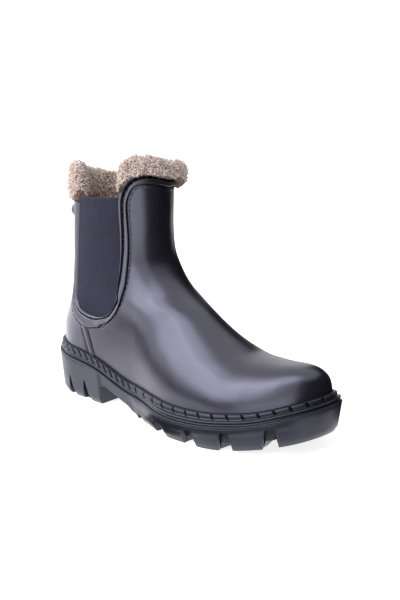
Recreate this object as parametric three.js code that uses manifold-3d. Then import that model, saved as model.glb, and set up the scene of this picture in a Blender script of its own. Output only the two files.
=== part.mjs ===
// A right ankle boot of moulded rubber: lug sole, elastic side gussets and a fleece lining.
// Millimetres. +X runs to the toe, +Y to the inner side of the foot, +Z up. The tread rests on z = 0.
// The origin lies under the middle of the sole's box.

import * as THREE from "three";
import * as BufferGeometryUtils from "three/addons/utils/BufferGeometryUtils.js";
import Module from "manifold-3d";

const wasm = await Module();
wasm.setup();

// Driving dimensions of the sole
const soleLength = 292;
const heelHalf = 38;
const waistHalfOuter = 39;
const waistHalfInner = 36;
const ballHalfOuter = 55;
const jointHalfInner = 46;
const ballHalfInner = 52;
const toeHalf = 50;
const heelRound = 38;
const toeRound = 90;
const toeSwing = 20;
const heelFullness = 2.1;
const toeFullness = 2.15;

// Heights of the sole's upper edge, from the heel forward
const heelTop = 40;
const seatTop = 35;
const waistTop = 22;
const ballTop = 20;
const treadTop = 26;
const toeTop = 44;

// Tread
const toeSpring = 17;
const wallLean = 3;
const treadBevel = 2.6;
const treadBevelHeight = 4.5;
const edgeRound = 1.2;
const edgeRoundHeight = 2;
const breastHeight = 19.5;
const archToeHeight = 9;
const pocketHeight = 12;
const pocketTopWidth = 7;
const pocketFootWidth = 12;
const pocketDepth = 6;
const channelHeight = 7;
const channelWidth = 7;
const heelNotchHeight = 18.5;
const heelNotchTopWidth = 2.4;
const heelNotchFootWidth = 12;
const heelNotchDepth = 15;

// Upper
const shaftHeight = 175;
const shaftHalf = 36;
const shaftBase = 34;
const heelLedge = 4;
const foreLedge = 8.3;
const wall = 2.2;
const clearance = 0.4;

// Gussets, measured over the sole's edge
const gussetWidth = 58;
const gussetFloor = 46.3;
const gussetFrontRise = 34;
const gussetTopDrop = 17;
const elasticThickness = 1.5;
const elasticSink = 0.4;
const strapBase = 62;
const strapTopDrop = 28;

// Raised trims round the gussets and the collar
const trimGap = 0.5;
const trimLift = 1;
const trimInset = 0.8;
const trimFrontWidth = 7;
const trimRearWidth = 8;
const trimFloorWidth = 13;
const trimFrontRise = 55;
const seamStripWidth = 8;
const seamStripLift = 0.8;

// Welt and its stitched rib
const weltHeight = 3;
const weltInset = 1.6;
const ribHeight = 5.5;
const ribDepth = 3;
const ribPitch = 9.6;
const ribSlit = 1.6;
const ribSlant = 1.4;
const ribBar = 1.6;
const ribTopShare = 0.8;

// Lining and floor inside
const liningThickness = 4.4;
const liningLeanShare = 0.4;
const boardThickness = 2.8;
const footbedThickness = 5.4;
const fleeceThickness = 3.6;

// Fleece rolls and the stud
const frontRollWidth = 15;
const frontRollHeight = 21;
const rearRollWidth = 14;
const rearRollHeight = 39;
const studRadius = 6;
const studHeight = 3.6;
const studGap = 4.5;
const studTopGap = 5;

// How finely the curved pieces are divided
const columns = 44;
const soleColumns = 60;
const rollSides = 10;
const stationSpacing = 12;
const trimSpacing = 5.4;
const samples = 720;

// Sizes that follow from those above
const soleHalf = soleLength / 2;
const bodyReach = soleLength;
const skinStep = clearance;
const strapTop = shaftHeight - strapTopDrop;
const gussetTop = shaftHeight - gussetTopDrop;
const ribFoot = weltHeight + 2 * clearance;
const ribTop = ribFoot + ribHeight;
const boardTop = clearance + boardThickness;
const footbedTop = boardTop + clearance + footbedThickness;
const fleeceTop = footbedTop + clearance + fleeceThickness;
// The lining leans in at its foot, so it starts a little over the floor's fleece
const liningFoot = fleeceTop + clearance + liningLeanShare * liningThickness;

// Weights of the places that an eased curve averages, and their distance from its middle in steps
const easeWeights = [[-2, 1], [-1, 2], [0, 3], [1, 2], [2, 1]];

// Each share pair below is a place, as a share of the size it runs along, and a value there.
// Places along the foot are shares of half the sole's length, from the heel at -1 to the toe at 1.
const soleTopCurve = throughPoints([
  [-1, heelTop], [-0.58, seatTop], [-0.205, waistTop], [0.205, ballTop], [0.616, treadTop], [1, toeTop],
]);
const outerHalfCurve = eased(throughPoints([
  [-1, heelHalf], [-0.753, heelHalf], [-0.205, waistHalfOuter], [0.171, ballHalfOuter],
  [0.411, ballHalfOuter], [0.753, toeHalf], [1, toeHalf],
]), 0.1);
const innerHalfCurve = eased(throughPoints([
  [-1, heelHalf], [-0.753, heelHalf], [-0.205, waistHalfInner], [0.171, jointHalfInner],
  [0.411, ballHalfInner], [0.753, toeHalf], [1, toeHalf],
]), 0.1);
const ledgeCurve = eased(throughPoints([
  [-1, heelLedge], [-0.14, heelLedge], [0.14, foreLedge], [1, foreLedge],
]), 0.08);

// Heights up the boot are shares of the shaft's height, and lengths here are shares of half the sole
const frontLineShares = eased(throughPoints([
  [0, 0.938], [0.046, 0.952], [0.103, 0.943], [0.149, 0.922], [0.188, 0.88], [0.218, 0.81],
  [0.2355, 0.7], [0.2415, 0.59], [0.254, 0.487], [0.287, 0.38], [0.336, 0.262], [0.398, 0.132],
  [0.452, -0.007], [0.532, -0.108], [0.614, -0.163], [0.743, -0.182], [0.8, -0.18], [1, -0.178],
]), 0, 0.045);
const backLineShares = eased(throughPoints([
  [0, -0.945], [0.069, -0.959], [0.143, -0.955], [0.229, -0.925], [0.343, -0.88], [0.457, -0.86],
  [0.571, -0.849], [0.8, -0.849], [1, -0.856],
]), 0.03);
const frontRoundShares = eased(throughPoints([
  [0, 0.548], [0.086, 0.548], [0.154, 0.589], [0.206, 0.685], [0.257, 0.753], [0.343, 0.651],
  [0.429, 0.548], [0.571, 0.411], [0.743, 0.342], [1, 0.322],
]), 0, 0.12);
const backRoundShares = eased(throughPoints([
  [0, 0.233], [0.143, 0.233], [0.343, 0.26], [0.571, 0.288], [1, 0.315],
]), 0, 0.12);
const rowShares = [
  0, 0.04, 0.1, 0.14, 0.168, 0.188, 0.204, 0.218, 0.2285, 0.235, 0.239, 0.244, 0.254, 0.268, 0.287,
  0.313, 0.345, 0.39, 0.455, 0.52, 0.585, 0.66, 0.77, 0.89, 1.04,
];
const levelShare = 0.63;
const swingStartShare = -0.274;
const swingFadeShares = [0.114, 0.629];
const shaftBlendShares = [0.086, 0.514];

// Domed sections of the forefoot, which close up to the front line and fade out along the foot and up
const toeTipShares = [0.046, 0.952];
const toeRoundShare = 0.548;
const domeFullness = [2.8, 2.35];
const domeStartShares = [-0.479, 0.034];
const domeFadeShares = [0.3, 0.62];
const ridgeReachShares = [0.046, 0.743];
const ridgeHalvings = 40;

// The front collar's upper edge from the outer shoulder to the inner one, and the band's lower edge
// below it: share of the way round from the back centre, and share of the shaft's height
const collarEdgeShares = [
  [0.3435, 0.914], [0.346, 0.94], [0.35, 0.963], [0.359, 0.983], [0.374, 1.005], [0.396, 1.02],
  [0.434, 1.025], [0.485, 1.01], [0.53, 0.99], [0.57, 0.985], [0.61, 0.99], [0.63, 0.98],
  [0.643, 0.962], [0.652, 0.935], [0.6565, 0.914],
];
const collarLowShares = [
  [0.3745, 0.9], [0.375, 0.917], [0.3765, 0.932], [0.379, 0.945], [0.387, 0.96], [0.404, 0.972],
  [0.44, 0.971], [0.485, 0.957], [0.53, 0.938], [0.57, 0.934], [0.598, 0.937], [0.613, 0.932],
  [0.621, 0.922], [0.624, 0.911], [0.6255, 0.9],
];
const collarEdge = throughPoints(collarEdgeShares);
const gussetCentreShare = -0.527;
const gussetStepShares = [0.163, 0.17];
const roundStepShare = 0.001;

// Shares of a gusset's width and rises that place the bends of its outline
const lowestShare = 0.34;
const frontLeanShare = 0.03;
const frontBendShares = [0.55, 0.28];
const rearBendShares = [0.15, 0.45];
const trimSagShare = 0.18;
const rearLeanShare = 0.14;
const rearLeanPower = 1.6;

// The side seam's place at the sole's edge as a share of the gusset's width, and its lean
const seamFootShare = 0.43;
const seamLeanShare = 0.373;
const seamTopShare = 0.7;

// Reach of the cutter over the boot's edge, and its sections between the collar and the back
const pastTopShare = 1.3;
const cutterReachShares = [0.3, 2];
const strapEdgeShares = [0, 0.05, 0.1];
const gussetEdgeShares = [0.25, 0.33];

// Fleece rolls: how far they sink over the edge, their rounded ends, and their runs round the boot
const rollSinkShare = 0.15;
const rollEndShare = 0.1;
const frontRollShares = [0.38, 0.62];
const frontRollSteps = 22;
const rearRollReachShare = 0.155;
const rearRollSteps = 14;
const rearRollTallShares = throughPoints([[-0.155, 0.45], [0, 0.7], [0.09, 1], [0.155, 0.9]]);

// Bends of the stud's dome as shares of its height and radius
const studRimShares = [0.4, 0.8];
const studCrownShare = 0.5;

// Places of the tread's pockets and heel notches along the sole, and of the channels' start and end
const pocketShares = [[-0.15, 0.6], [0.106, 0.85], [0.325, 1], [0.562, 1], [0.798, 0.95]];
const heelNotchShares = [-0.795, -0.63];
const breastShare = -0.497;
const archShares = [[-0.46, 1], [-0.255, 0], [-0.19, -0.75]];
const springStartShare = 0.34;
const centreChannelShares = [-0.1, 0.72];

// Curve through pairs of place and value that doesn't swing past them
function throughPoints(pairs) {
  const last = pairs.length - 1;
  const spans = pairs.slice(1).map((pair, i) => pair[0] - pairs[i][0]);
  const slopes = spans.map((span, i) => (pairs[i + 1][1] - pairs[i][1]) / span);
  const tangents = pairs.map((_, i) => {
    if (i === 0) return slopes[0];
    if (i === last) return slopes[last - 1];
    const nearBefore = 2 * spans[i] + spans[i - 1];
    const nearAfter = spans[i] + 2 * spans[i - 1];
    if (slopes[i - 1] * slopes[i] <= 0) return 0;
    return (nearBefore + nearAfter) / (nearBefore / slopes[i - 1] + nearAfter / slopes[i]);
  });
  return (place) => {
    const x = THREE.MathUtils.clamp(place, pairs[0][0], pairs[last][0]);
    let i = 0;
    while (i < last - 1 && x > pairs[i + 1][0]) i += 1;
    const span = spans[i];
    const t = (x - pairs[i][0]) / span;
    const t2 = t * t;
    const t3 = t2 * t;
    return (2 * t3 - 3 * t2 + 1) * pairs[i][1] + (t3 - 2 * t2 + t) * span * tangents[i]
      + (3 * t2 - 2 * t3) * pairs[i + 1][1] + (t3 - t2) * span * tangents[i + 1];
  };
}

// Curve with its bends eased over a reach, which may grow with the place
function eased(curve, reach, growth = 0) {
  const total = easeWeights.reduce((sum, [, weight]) => sum + weight, 0);
  return (place) => {
    const step = (reach + growth * place) / 2;
    return easeWeights.reduce((sum, [move, weight]) => sum + weight * curve(place + move * step), 0) / total;
  };
}

// Quarter-round end of an outline: 0 at its tip, 1 once it is past the rounding
function roundEnd(distance, radius, fullness) {
  const t = THREE.MathUtils.clamp(distance / radius, 0, 1);
  return (1 - (1 - t) ** fullness) ** (1 / fullness);
}

const blend = THREE.MathUtils.smoothstep;

// Sole outline: the share round runs from the back centre, over the outer side to the toe and back
const soleTop = (x) => soleTopCurve(x / soleHalf);

function treadHeight(x) {
  const reach = Math.max(0, (x / soleHalf - springStartShare) / (1 - springStartShare));
  return toeSpring * reach ** 2;
}

function swing(x) {
  const reach = THREE.MathUtils.clamp((x / soleHalf - swingStartShare) / (1 - swingStartShare), 0, 1);
  return toeSwing * reach ** 2;
}

function solePlan(round) {
  const x = -Math.cos(2 * Math.PI * round) * soleHalf;
  const outer = round < 0.5;
  const half = (outer ? outerHalfCurve : innerHalfCurve)(x / soleHalf);
  const ends = roundEnd(x + soleHalf, heelRound, heelFullness)
    * roundEnd(soleHalf - x, toeRound, toeFullness);
  return new THREE.Vector2(x, (outer ? -1 : 1) * half * ends + swing(x));
}

// Unit vector in plan that points out of the sole
function soleOutward(round) {
  const ahead = solePlan((round + 0.002) % 1);
  const behind = solePlan((round + 0.998) % 1);
  return ahead.sub(behind).normalize().rotateAround(new THREE.Vector2(), -Math.PI / 2);
}

function soleInset(round, inset) {
  return solePlan(round).addScaledVector(soleOutward(round), -inset);
}

// Share of the shaft's height at which the front line stands over a place along the foot
function ridgeShare(x) {
  let [low, high] = ridgeReachShares;
  for (let i = 0; i < ridgeHalvings; i += 1) {
    const middle = (low + high) / 2;
    if (soleHalf * frontLineShares(middle) > x) low = middle;
    else high = middle;
  }
  return (low + high) / 2;
}

// Share of its full width that the upper has near its front: a dome low down, a round edge up the shaft
function frontEnd(x, front, share) {
  const [tipLevel, tipReach] = toeTipShares;
  const tip = share < tipLevel ? front : soleHalf * tipReach;
  const level = Math.min(1, share / ridgeShare(x)) * blend(x / soleHalf, ...domeStartShares);
  const [rise, close] = domeFullness;
  const dome = roundEnd(tip - x, soleHalf * toeRoundShare, heelFullness) * (1 - level ** rise) ** (1 / close);
  const upright = roundEnd(front - x, soleHalf * frontRoundShares(share), heelFullness);
  const fade = blend(share, ...domeFadeShares);
  return dome ** (1 - fade) * upright ** fade;
}

// Skin of the upper at a share round and a height over the sole's edge
function skinPoint(round, height) {
  const share = height / shaftHeight;
  const back = soleHalf * backLineShares(share);
  const front = soleHalf * frontLineShares(share);
  const x = back + ((front - back) * (1 - Math.cos(2 * Math.PI * round))) / 2;
  const outer = ((round % 1) + 1) % 1 < 0.5;
  const foot = (outer ? outerHalfCurve : innerHalfCurve)(x / soleHalf) - ledgeCurve(x / soleHalf);
  const half = THREE.MathUtils.lerp(foot, shaftHalf, blend(share, ...shaftBlendShares));
  const ends = roundEnd(x - back, soleHalf * backRoundShares(share), heelFullness)
    * frontEnd(x, front, share);
  const y = (outer ? -1 : 1) * half * ends + swing(x) * (1 - blend(share, ...swingFadeShares));
  const z = height + THREE.MathUtils.lerp(soleTop(x), shaftBase, blend(share, 0, levelShare));
  return new THREE.Vector3(x, y, z);
}

// The same place moved along the skin's outward normal
function skinLifted(round, height, lift) {
  const along = skinPoint(round + 0.004, height).sub(skinPoint(round - 0.004, height));
  const low = Math.max(0, height - skinStep);
  const up = skinPoint(round, height + skinStep).sub(skinPoint(round, low));
  return skinPoint(round, height).addScaledVector(along.cross(up).normalize(), lift);
}

// Share round at which the skin has a given x, on the outer side (1 - the result on the inner side)
function roundAt(x, height) {
  const share = height / shaftHeight;
  const back = soleHalf * backLineShares(share);
  const front = soleHalf * frontLineShares(share);
  const reach = THREE.MathUtils.clamp((x - back) / (front - back), 0, 1);
  return Math.acos(1 - 2 * reach) / (2 * Math.PI);
}

// Geometry from points and triangles, turned to face out
function closedGeometry(points, triangles) {
  const corner = new THREE.Vector3();
  const volume = triangles.reduce((sum, [a, b, c]) => (
    sum + corner.crossVectors(points[b], points[c]).dot(points[a])
  ), 0);
  const facing = volume < 0 ? triangles.map(([a, b, c]) => [a, c, b]) : triangles;
  const geometry = new THREE.BufferGeometry().setFromPoints(points);
  geometry.setIndex(facing.flat());
  return geometry;
}

// Body through sections with equal counts of points: a ring of them, or a run with closed ends
function loft(sections, { ring = false, fold = false } = {}) {
  const count = sections[0].length;
  const points = sections.flat();
  const triangles = [];
  const runs = ring ? sections.length : sections.length - 1;
  for (let i = 0; i < runs; i += 1) {
    const here = i * count;
    const next = ((i + 1) % sections.length) * count;
    for (let j = 0; j < count; j += 1) {
      const k = (j + 1) % count;
      // The shorter diagonal, so that shells one inside the other bend alike
      const forward = points[here + j].distanceTo(points[next + k]);
      const backward = points[here + k].distanceTo(points[next + j]);
      if (forward < backward) {
        triangles.push([here + j, next + j, next + k], [here + j, next + k, here + k]);
      } else {
        triangles.push([here + j, next + j, here + k], [next + j, next + k, here + k]);
      }
    }
  }
  if (!ring) {
    const end = (sections.length - 1) * count;
    // A folded end joins each point to its opposite number, a plain end fans from the first point
    const cap = fold ? foldedCap(count) : fanCap(count);
    cap.forEach(([a, b, c]) => triangles.push([a, b, c], [end + a, end + c, end + b]));
  }
  return closedGeometry(points, triangles);
}

function fanCap(count) {
  return Array.from({ length: count - 2 }, (_, j) => [0, j + 1, j + 2]);
}

function foldedCap(count) {
  const triangles = [[0, 1, count - 1]];
  for (let j = 1; j < count / 2 - 1; j += 1) {
    triangles.push([j, j + 1, count - j], [j + 1, count - j - 1, count - j]);
  }
  triangles.push([count / 2 - 1, count / 2, count / 2 + 1]);
  return triangles;
}

// Solids for cutting and joining
function toSolid(geometry) {
  const plain = geometry.clone();
  plain.deleteAttribute("normal");
  plain.deleteAttribute("uv");
  const merged = BufferGeometryUtils.mergeVertices(plain);
  return new wasm.Manifold(new wasm.Mesh({
    numProp: 3,
    vertProperties: new Float32Array(merged.attributes.position.array),
    triVerts: new Uint32Array(merged.index.array),
  }));
}

function toGeometry(solid) {
  const mesh = solid.getMesh();
  const geometry = new THREE.BufferGeometry();
  geometry.setAttribute("position", new THREE.BufferAttribute(mesh.vertProperties, 3));
  geometry.setIndex(new THREE.BufferAttribute(mesh.triVerts, 1));
  return geometry;
}

// Prism across the boot from an outline seen from the side
function crossPrism(outline, fromY, toY) {
  const geometry = new THREE.ExtrudeGeometry(new THREE.Shape(outline), {
    depth: toY - fromY, bevelEnabled: false,
  });
  geometry.rotateX(Math.PI / 2);
  geometry.translate(0, toY, 0);
  return toSolid(geometry);
}

// Side-view outline in flat heights, moved to real heights
function lifted(flatOutline) {
  return flatOutline.map((p) => {
    const share = p.y / shaftHeight;
    const z = p.y + THREE.MathUtils.lerp(soleTop(p.x), shaftBase, blend(share, 0, levelShare));
    return new THREE.Vector2(p.x, z);
  });
}

// Skin shell all round, between two heights and two lifts
function skinShell(fromHeight, toHeight, innerLift, outerLift) {
  const rows = [
    fromHeight,
    ...[...rowShares.map((share) => share * shaftHeight), liningFoot].sort((a, b) => a - b)
      .filter((h) => h > fromHeight + clearance && h < toHeight - clearance),
    toHeight,
  ];
  const sections = Array.from({ length: columns }, (_, j) => {
    const round = j / columns;
    return [
      ...rows.map((h) => skinLifted(round, h, outerLift)),
      ...[...rows].reverse().map((h) => skinLifted(round, h, innerLift)),
    ];
  });
  return toSolid(loft(sections, { ring: true }));
}

// Plate inside the upper, following the sole's upper edge
function floorPlate(fromHeight, toHeight) {
  const lift = -wall - 2 * clearance;
  const rings = [fromHeight, toHeight].map((height) => (
    Array.from({ length: columns }, (_, j) => skinLifted(j / columns, height, lift))
  ));
  return loft(rings, { fold: true });
}

// U-shaped outline of a gusset opening, or of the trim round it, from its front top to the strap's base
function gussetCurve({ front, rear, floor, frontRise, sag }) {
  const width = front - rear;
  const lowest = rear + lowestShare * width;
  const [frontUp, frontIn] = frontBendShares;
  const [rearIn, rearUp] = rearBendShares;
  const path = new THREE.Path();
  path.moveTo(front - frontLeanShare * width, gussetTop);
  path.lineTo(front, floor + frontRise);
  path.bezierCurveTo(
    front, floor + frontUp * frontRise, front - frontIn * width, floor + sag, lowest, floor,
  );
  path.bezierCurveTo(
    rear + rearIn * width, floor, rear, floor + rearUp * (strapBase - floor), rear, strapBase,
  );
  return path;
}

const gussetCentre = soleHalf * gussetCentreShare;
const opening = {
  front: gussetCentre + gussetWidth / 2,
  rear: gussetCentre - gussetWidth / 2,
  floor: gussetFloor,
  frontRise: gussetFrontRise,
  sag: 0,
};

function grownOpening(grow) {
  return {
    ...opening, front: opening.front + grow, rear: opening.rear - grow, floor: opening.floor - grow,
  };
}

const trimOutline = {
  front: opening.front + trimFrontWidth,
  rear: opening.rear - trimRearWidth,
  floor: opening.floor - trimFloorWidth,
  frontRise: trimFrontRise,
  sag: trimSagShare * trimFrontRise,
};

// Rear edge above the strap's base: it leans forward towards the top
function rearEdge(rear, height) {
  const rise = Math.max(0, (height - strapBase) / (gussetTop - strapBase));
  return rear + rearLeanShare * gussetWidth * rise ** rearLeanPower;
}

// Closed side-view outline of the opening grown or shrunk, running up past the top when it is tall
function openingOutline(grow, top) {
  const size = grownOpening(grow);
  const curve = gussetCurve(size).getPoints(8);
  const rise = 5;
  const rearPoints = Array.from({ length: rise + 1 }, (_, i) => {
    const height = THREE.MathUtils.lerp(strapBase, top, i / rise);
    return new THREE.Vector2(rearEdge(size.rear, height), height);
  });
  curve[0] = new THREE.Vector2(curve[0].x, top);
  return [...curve, ...rearPoints.slice(1)];
}

// Both openings as one cutter, or the outer or the inner one alone
function openingPrism(grow, top, fromY = -bodyReach, toY = bodyReach) {
  return crossPrism(lifted(openingOutline(grow, top)), fromY, toY);
}

const pastTop = pastTopShare * shaftHeight;

// Everything above the boot's upper edge and a gap, as a ring of wedges round the shaft
function aboveEdge(gap = 0) {
  const strap = strapTop / shaftHeight;
  const top = gussetTop / shaftHeight;
  const [stepFrom, stepTo] = gussetStepShares;
  const half = [
    ...[...strapEdgeShares, stepFrom].map((round) => [round, strap]),
    ...[stepTo, ...gussetEdgeShares].map((round) => [round, top]),
  ];
  const mirrored = half.slice(1).map(([round, share]) => [1 - round, share]).reverse();
  const collar = collarEdgeShares.slice(1).flatMap(([round], i) => {
    const before = collarEdgeShares[i][0];
    return [before, (before + round) / 2].map((place) => [place, collarEdge(place)]);
  });
  const edge = [...half, ...collar, collarEdgeShares.at(-1), ...mirrored];
  const centre = skinPoint(0.25, shaftHeight).x;
  const sections = edge.map(([round, share]) => {
    const point = skinPoint(round, share * shaftHeight);
    const outward = new THREE.Vector3(point.x - centre, point.y, 0);
    const [inner, outer] = cutterReachShares.map((reach) => (
      new THREE.Vector3(centre, 0, point.z).addScaledVector(outward, reach)
    ));
    return [inner, outer, outer.clone().setZ(pastTop + shaftBase), inner.clone().setZ(pastTop + shaftBase)];
  });
  return toSolid(loft(sections, { ring: true })).translate([0, 0, gap]);
}

// Thin slot through the skin along the side seams, from the sole's edge up to the gusset
function seamLine(height) {
  return opening.rear + seamFootShare * gussetWidth - seamLeanShare * height;
}

function seamSlot() {
  const top = THREE.MathUtils.lerp(gussetFloor, strapBase, seamTopShare);
  const low = -clearance;
  const half = clearance / 2;
  return crossPrism(lifted([
    new THREE.Vector2(seamLine(low) - half, low), new THREE.Vector2(seamLine(low) + half, low),
    new THREE.Vector2(seamLine(top) + half, top), new THREE.Vector2(seamLine(top) - half, top),
  ]), -bodyReach, bodyReach);
}

// Box across the whole boot between two x places and two real heights
function crossBox(fromX, toX, fromZ, toZ) {
  return crossPrism([
    new THREE.Vector2(fromX, fromZ), new THREE.Vector2(toX, fromZ),
    new THREE.Vector2(toX, toZ), new THREE.Vector2(fromX, toZ),
  ], -bodyReach, bodyReach);
}

const strapBaseZ = shaftBase + strapBase;

// Space that the strap takes behind the gussets, and the same space with its clearance and no top
const behindGussets = (fromZ, toZ) => crossBox(-bodyReach, gussetCentre, fromZ, toZ);
const strapSpace = () => behindGussets(strapBaseZ + clearance / 2, shaftBase + strapTop);
const strapRoom = () => behindGussets(strapBaseZ - clearance / 2, bodyReach + shaftHeight);

// Rubber upper: one skin cut into the vamp, the heel counter and the back strap
function rubberUpper() {
  const skin = skinShell(clearance, rowShares.at(-1) * shaftHeight, -wall, 0)
    .subtract(aboveEdge())
    .subtract(openingPrism(0, pastTop));
  const rest = skin.subtract(strapRoom()).subtract(seamSlot());
  const pieces = rest.decompose().sort((a, b) => b.volume() - a.volume());
  return { vamp: pieces[0], counter: pieces[1], strap: skin.intersect(strapSpace()) };
}

// Fleece lining: one layer cut into the foot, the two gusset panels and the strap's panel
function liningPieces() {
  const outerLift = -wall - clearance;
  const layer = skinShell(liningFoot, rowShares.at(-1) * shaftHeight, outerLift - liningThickness, outerLift)
    .subtract(aboveEdge());
  const open = openingPrism(0, pastTop);
  const panels = (fromY, toY) => layer.intersect(openingPrism(-clearance, gussetTop, fromY, toY));
  return {
    foot: layer.subtract(strapRoom()).subtract(open),
    outerPanel: panels(-bodyReach, 0),
    innerPanel: panels(0, bodyReach),
    strap: layer.intersect(strapSpace()).subtract(open),
  };
}

function elastic(fromY, toY) {
  const layer = skinShell(gussetFloor / 2, pastTop, -elasticSink - elasticThickness, -elasticSink);
  return layer.intersect(openingPrism(-clearance, gussetTop, fromY, toY));
}

// Strip on the skin between two runs of places, each a share round and a height
function skinStrip(runA, runB, lift) {
  const sections = runA.map(([round, height], i) => {
    const [otherRound, otherHeight] = runB[i];
    const middle = [(round + otherRound) / 2, (height + otherHeight) / 2];
    return [
      skinLifted(round, height, trimGap), skinLifted(...middle, trimGap),
      skinLifted(otherRound, otherHeight, trimGap), skinLifted(otherRound, otherHeight, trimGap + lift),
      skinLifted(...middle, trimGap + lift), skinLifted(round, height, trimGap + lift),
    ];
  });
  return loft(sections);
}

// Run of places on one side of the boot from a side-view outline
function runAlong(points, inner) {
  return points.map((p) => {
    const round = roundAt(p.x, p.y);
    return [inner ? 1 - round : round, p.y];
  });
}

function gussetTrim(inner) {
  const border = gussetCurve(trimOutline);
  const steps = Math.round(border.getLength() / trimSpacing);
  const edge = gussetCurve(grownOpening(trimInset)).getSpacedPoints(steps);
  const trimmed = (points) => points.map((p) => {
    const top = p.x < gussetCentre ? strapBase - clearance : gussetTop;
    return new THREE.Vector2(p.x, Math.min(p.y, top));
  });
  const runs = [edge, border.getSpacedPoints(steps)].map((points) => runAlong(trimmed(points), inner));
  return skinStrip(...runs, trimLift);
}

function strapTrim(inner) {
  const steps = Math.ceil((strapTop - strapBase) / stationSpacing);
  const heights = Array.from({ length: steps + 1 }, (_, i) => (
    THREE.MathUtils.lerp(strapBase + clearance, strapTop - clearance, i / steps)
  ));
  const run = (rear, lean) => runAlong(heights.map((height) => (
    new THREE.Vector2(rearEdge(rear, height) + lean * (height - strapBase) / strapTop, height)
  )), inner);
  return skinStrip(
    run(opening.rear - trimInset, 0),
    run(trimOutline.rear, trimInset),
    trimLift,
  );
}

function collarBand() {
  const start = gussetTop + clearance;
  const place = ([round, share]) => [round, Math.max(start, share * shaftHeight)];
  const top = collarEdgeShares.map(([round, share]) => (
    [round, Math.max(start, share * shaftHeight - trimInset)]
  ));
  const low = collarLowShares.map(place);
  const between = (run) => run.flatMap(([round, height], i) => {
    if (i === run.length - 1) return [[round, height]];
    const [nextRound, nextHeight] = run[i + 1];
    return [[round, height], [(round + nextRound) / 2, (height + nextHeight) / 2]];
  });
  return skinStrip(between(top), between(low), trimLift);
}

function seamStrip(inner) {
  const low = ribTop + clearance;
  const high = trimOutline.floor - clearance;
  const steps = 2;
  const heights = Array.from({ length: steps + 1 }, (_, i) => THREE.MathUtils.lerp(low, high, i / steps));
  const run = (shift) => runAlong(heights.map((h) => new THREE.Vector2(seamLine(h) + shift, h)), inner);
  return skinStrip(run(-seamStripWidth / 2), run(seamStripWidth / 2), seamStripLift);
}

// Outsole body: rings of its outline from the tread to the upper edge
function outsoleBody() {
  const levels = [
    { inset: wallLean + treadBevel, z: treadHeight },
    { inset: wallLean, z: (x) => treadHeight(x) + treadBevelHeight },
    { inset: wallLean / 2, z: (x) => (treadHeight(x) + soleTop(x)) / 2 },
    { inset: 0, z: (x) => soleTop(x) - edgeRoundHeight },
    { inset: edgeRound, z: soleTop },
  ];
  const rings = levels.map(({ inset, z }) => Array.from({ length: soleColumns }, (_, j) => {
    const plan = soleInset(j / soleColumns, inset);
    return new THREE.Vector3(plan.x, plan.y, z(plan.x));
  }));
  return toSolid(loft(rings, { fold: true }));
}

// Cutter with a tapered outline, set square to the sole's wall at a share along one side
function wallCutter(share, inner, { top, foot, height, depth }) {
  const round = Math.acos(-share) / (2 * Math.PI);
  const at = inner ? 1 - round : round;
  const plan = solePlan(at);
  const outward = soleOutward(at);
  const floor = treadHeight(plan.x);
  const lowest = foot - top / 2;
  const outline = new THREE.Shape([
    new THREE.Vector2(-lowest, -height), new THREE.Vector2(lowest, -height),
    new THREE.Vector2(top / 2, height), new THREE.Vector2(-top / 2, height),
  ]);
  const geometry = new THREE.ExtrudeGeometry(outline, { depth: 2 * depth, bevelEnabled: false });
  geometry.translate(0, 0, -depth);
  const along = new THREE.Vector3(-outward.y, outward.x, 0);
  const up = new THREE.Vector3(0, 0, 1);
  const side = new THREE.Vector3(outward.x, outward.y, 0);
  const place = new THREE.Matrix4().makeBasis(along, up, side);
  place.setPosition(plan.x, plan.y, floor);
  return toSolid(geometry.applyMatrix4(place));
}

function archCutter() {
  const under = -breastHeight;
  const rise = breastHeight - archToeHeight;
  const points = [
    new THREE.Vector2(soleHalf * breastShare, under),
    new THREE.Vector2(soleHalf * breastShare, breastHeight - wall),
    ...archShares.map(([share, level]) => (
      new THREE.Vector2(soleHalf * share, archToeHeight + rise * level)
    )),
  ];
  const last = points.at(-1);
  points.push(new THREE.Vector2(last.x - soleHalf * (archShares[1][0] - archShares[2][0]), under));
  return crossPrism(points, -bodyReach, bodyReach);
}

// Channel along the middle of the forefoot, following the toe's spring
function centreChannel() {
  const [from, to] = centreChannelShares;
  const steps = 6;
  const sections = Array.from({ length: steps + 1 }, (_, i) => {
    const x = soleHalf * THREE.MathUtils.lerp(from, to, i / steps);
    const side = i % 2 ? channelWidth / 2 : -channelWidth / 2;
    const y = swing(x) + side;
    const floor = treadHeight(x);
    const half = channelWidth / 2;
    return [
      new THREE.Vector3(x, y - half, floor - channelHeight),
      new THREE.Vector3(x, y + half, floor - channelHeight),
      new THREE.Vector3(x, y + half / 2, floor + channelHeight),
      new THREE.Vector3(x, y - half / 2, floor + channelHeight),
    ];
  });
  return toSolid(loft(sections));
}

function outsole() {
  const cutters = [archCutter(), centreChannel()];
  [false, true].forEach((inner) => {
    pocketShares.forEach(([share, heightShare]) => {
      cutters.push(wallCutter(share, inner, {
        top: pocketTopWidth, foot: pocketFootWidth, height: pocketHeight * heightShare, depth: pocketDepth,
      }));
      cutters.push(wallCutter(share, inner, {
        top: pocketTopWidth, foot: pocketFootWidth, height: channelHeight * heightShare, depth: toeHalf,
      }));
    });
    heelNotchShares.forEach((share) => {
      cutters.push(wallCutter(share, inner, {
        top: heelNotchTopWidth, foot: heelNotchFootWidth, height: heelNotchHeight, depth: heelNotchDepth,
      }));
    });
  });
  return cutters.reduce((body, cutter) => body.subtract(cutter), outsoleBody());
}

// Place beside the skin whose height is measured over the sole's edge right below it
function besideSkin(round, height, out) {
  const point = skinLifted(round, height, out);
  return point.setZ(soleTop(point.x) + height);
}

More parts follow.
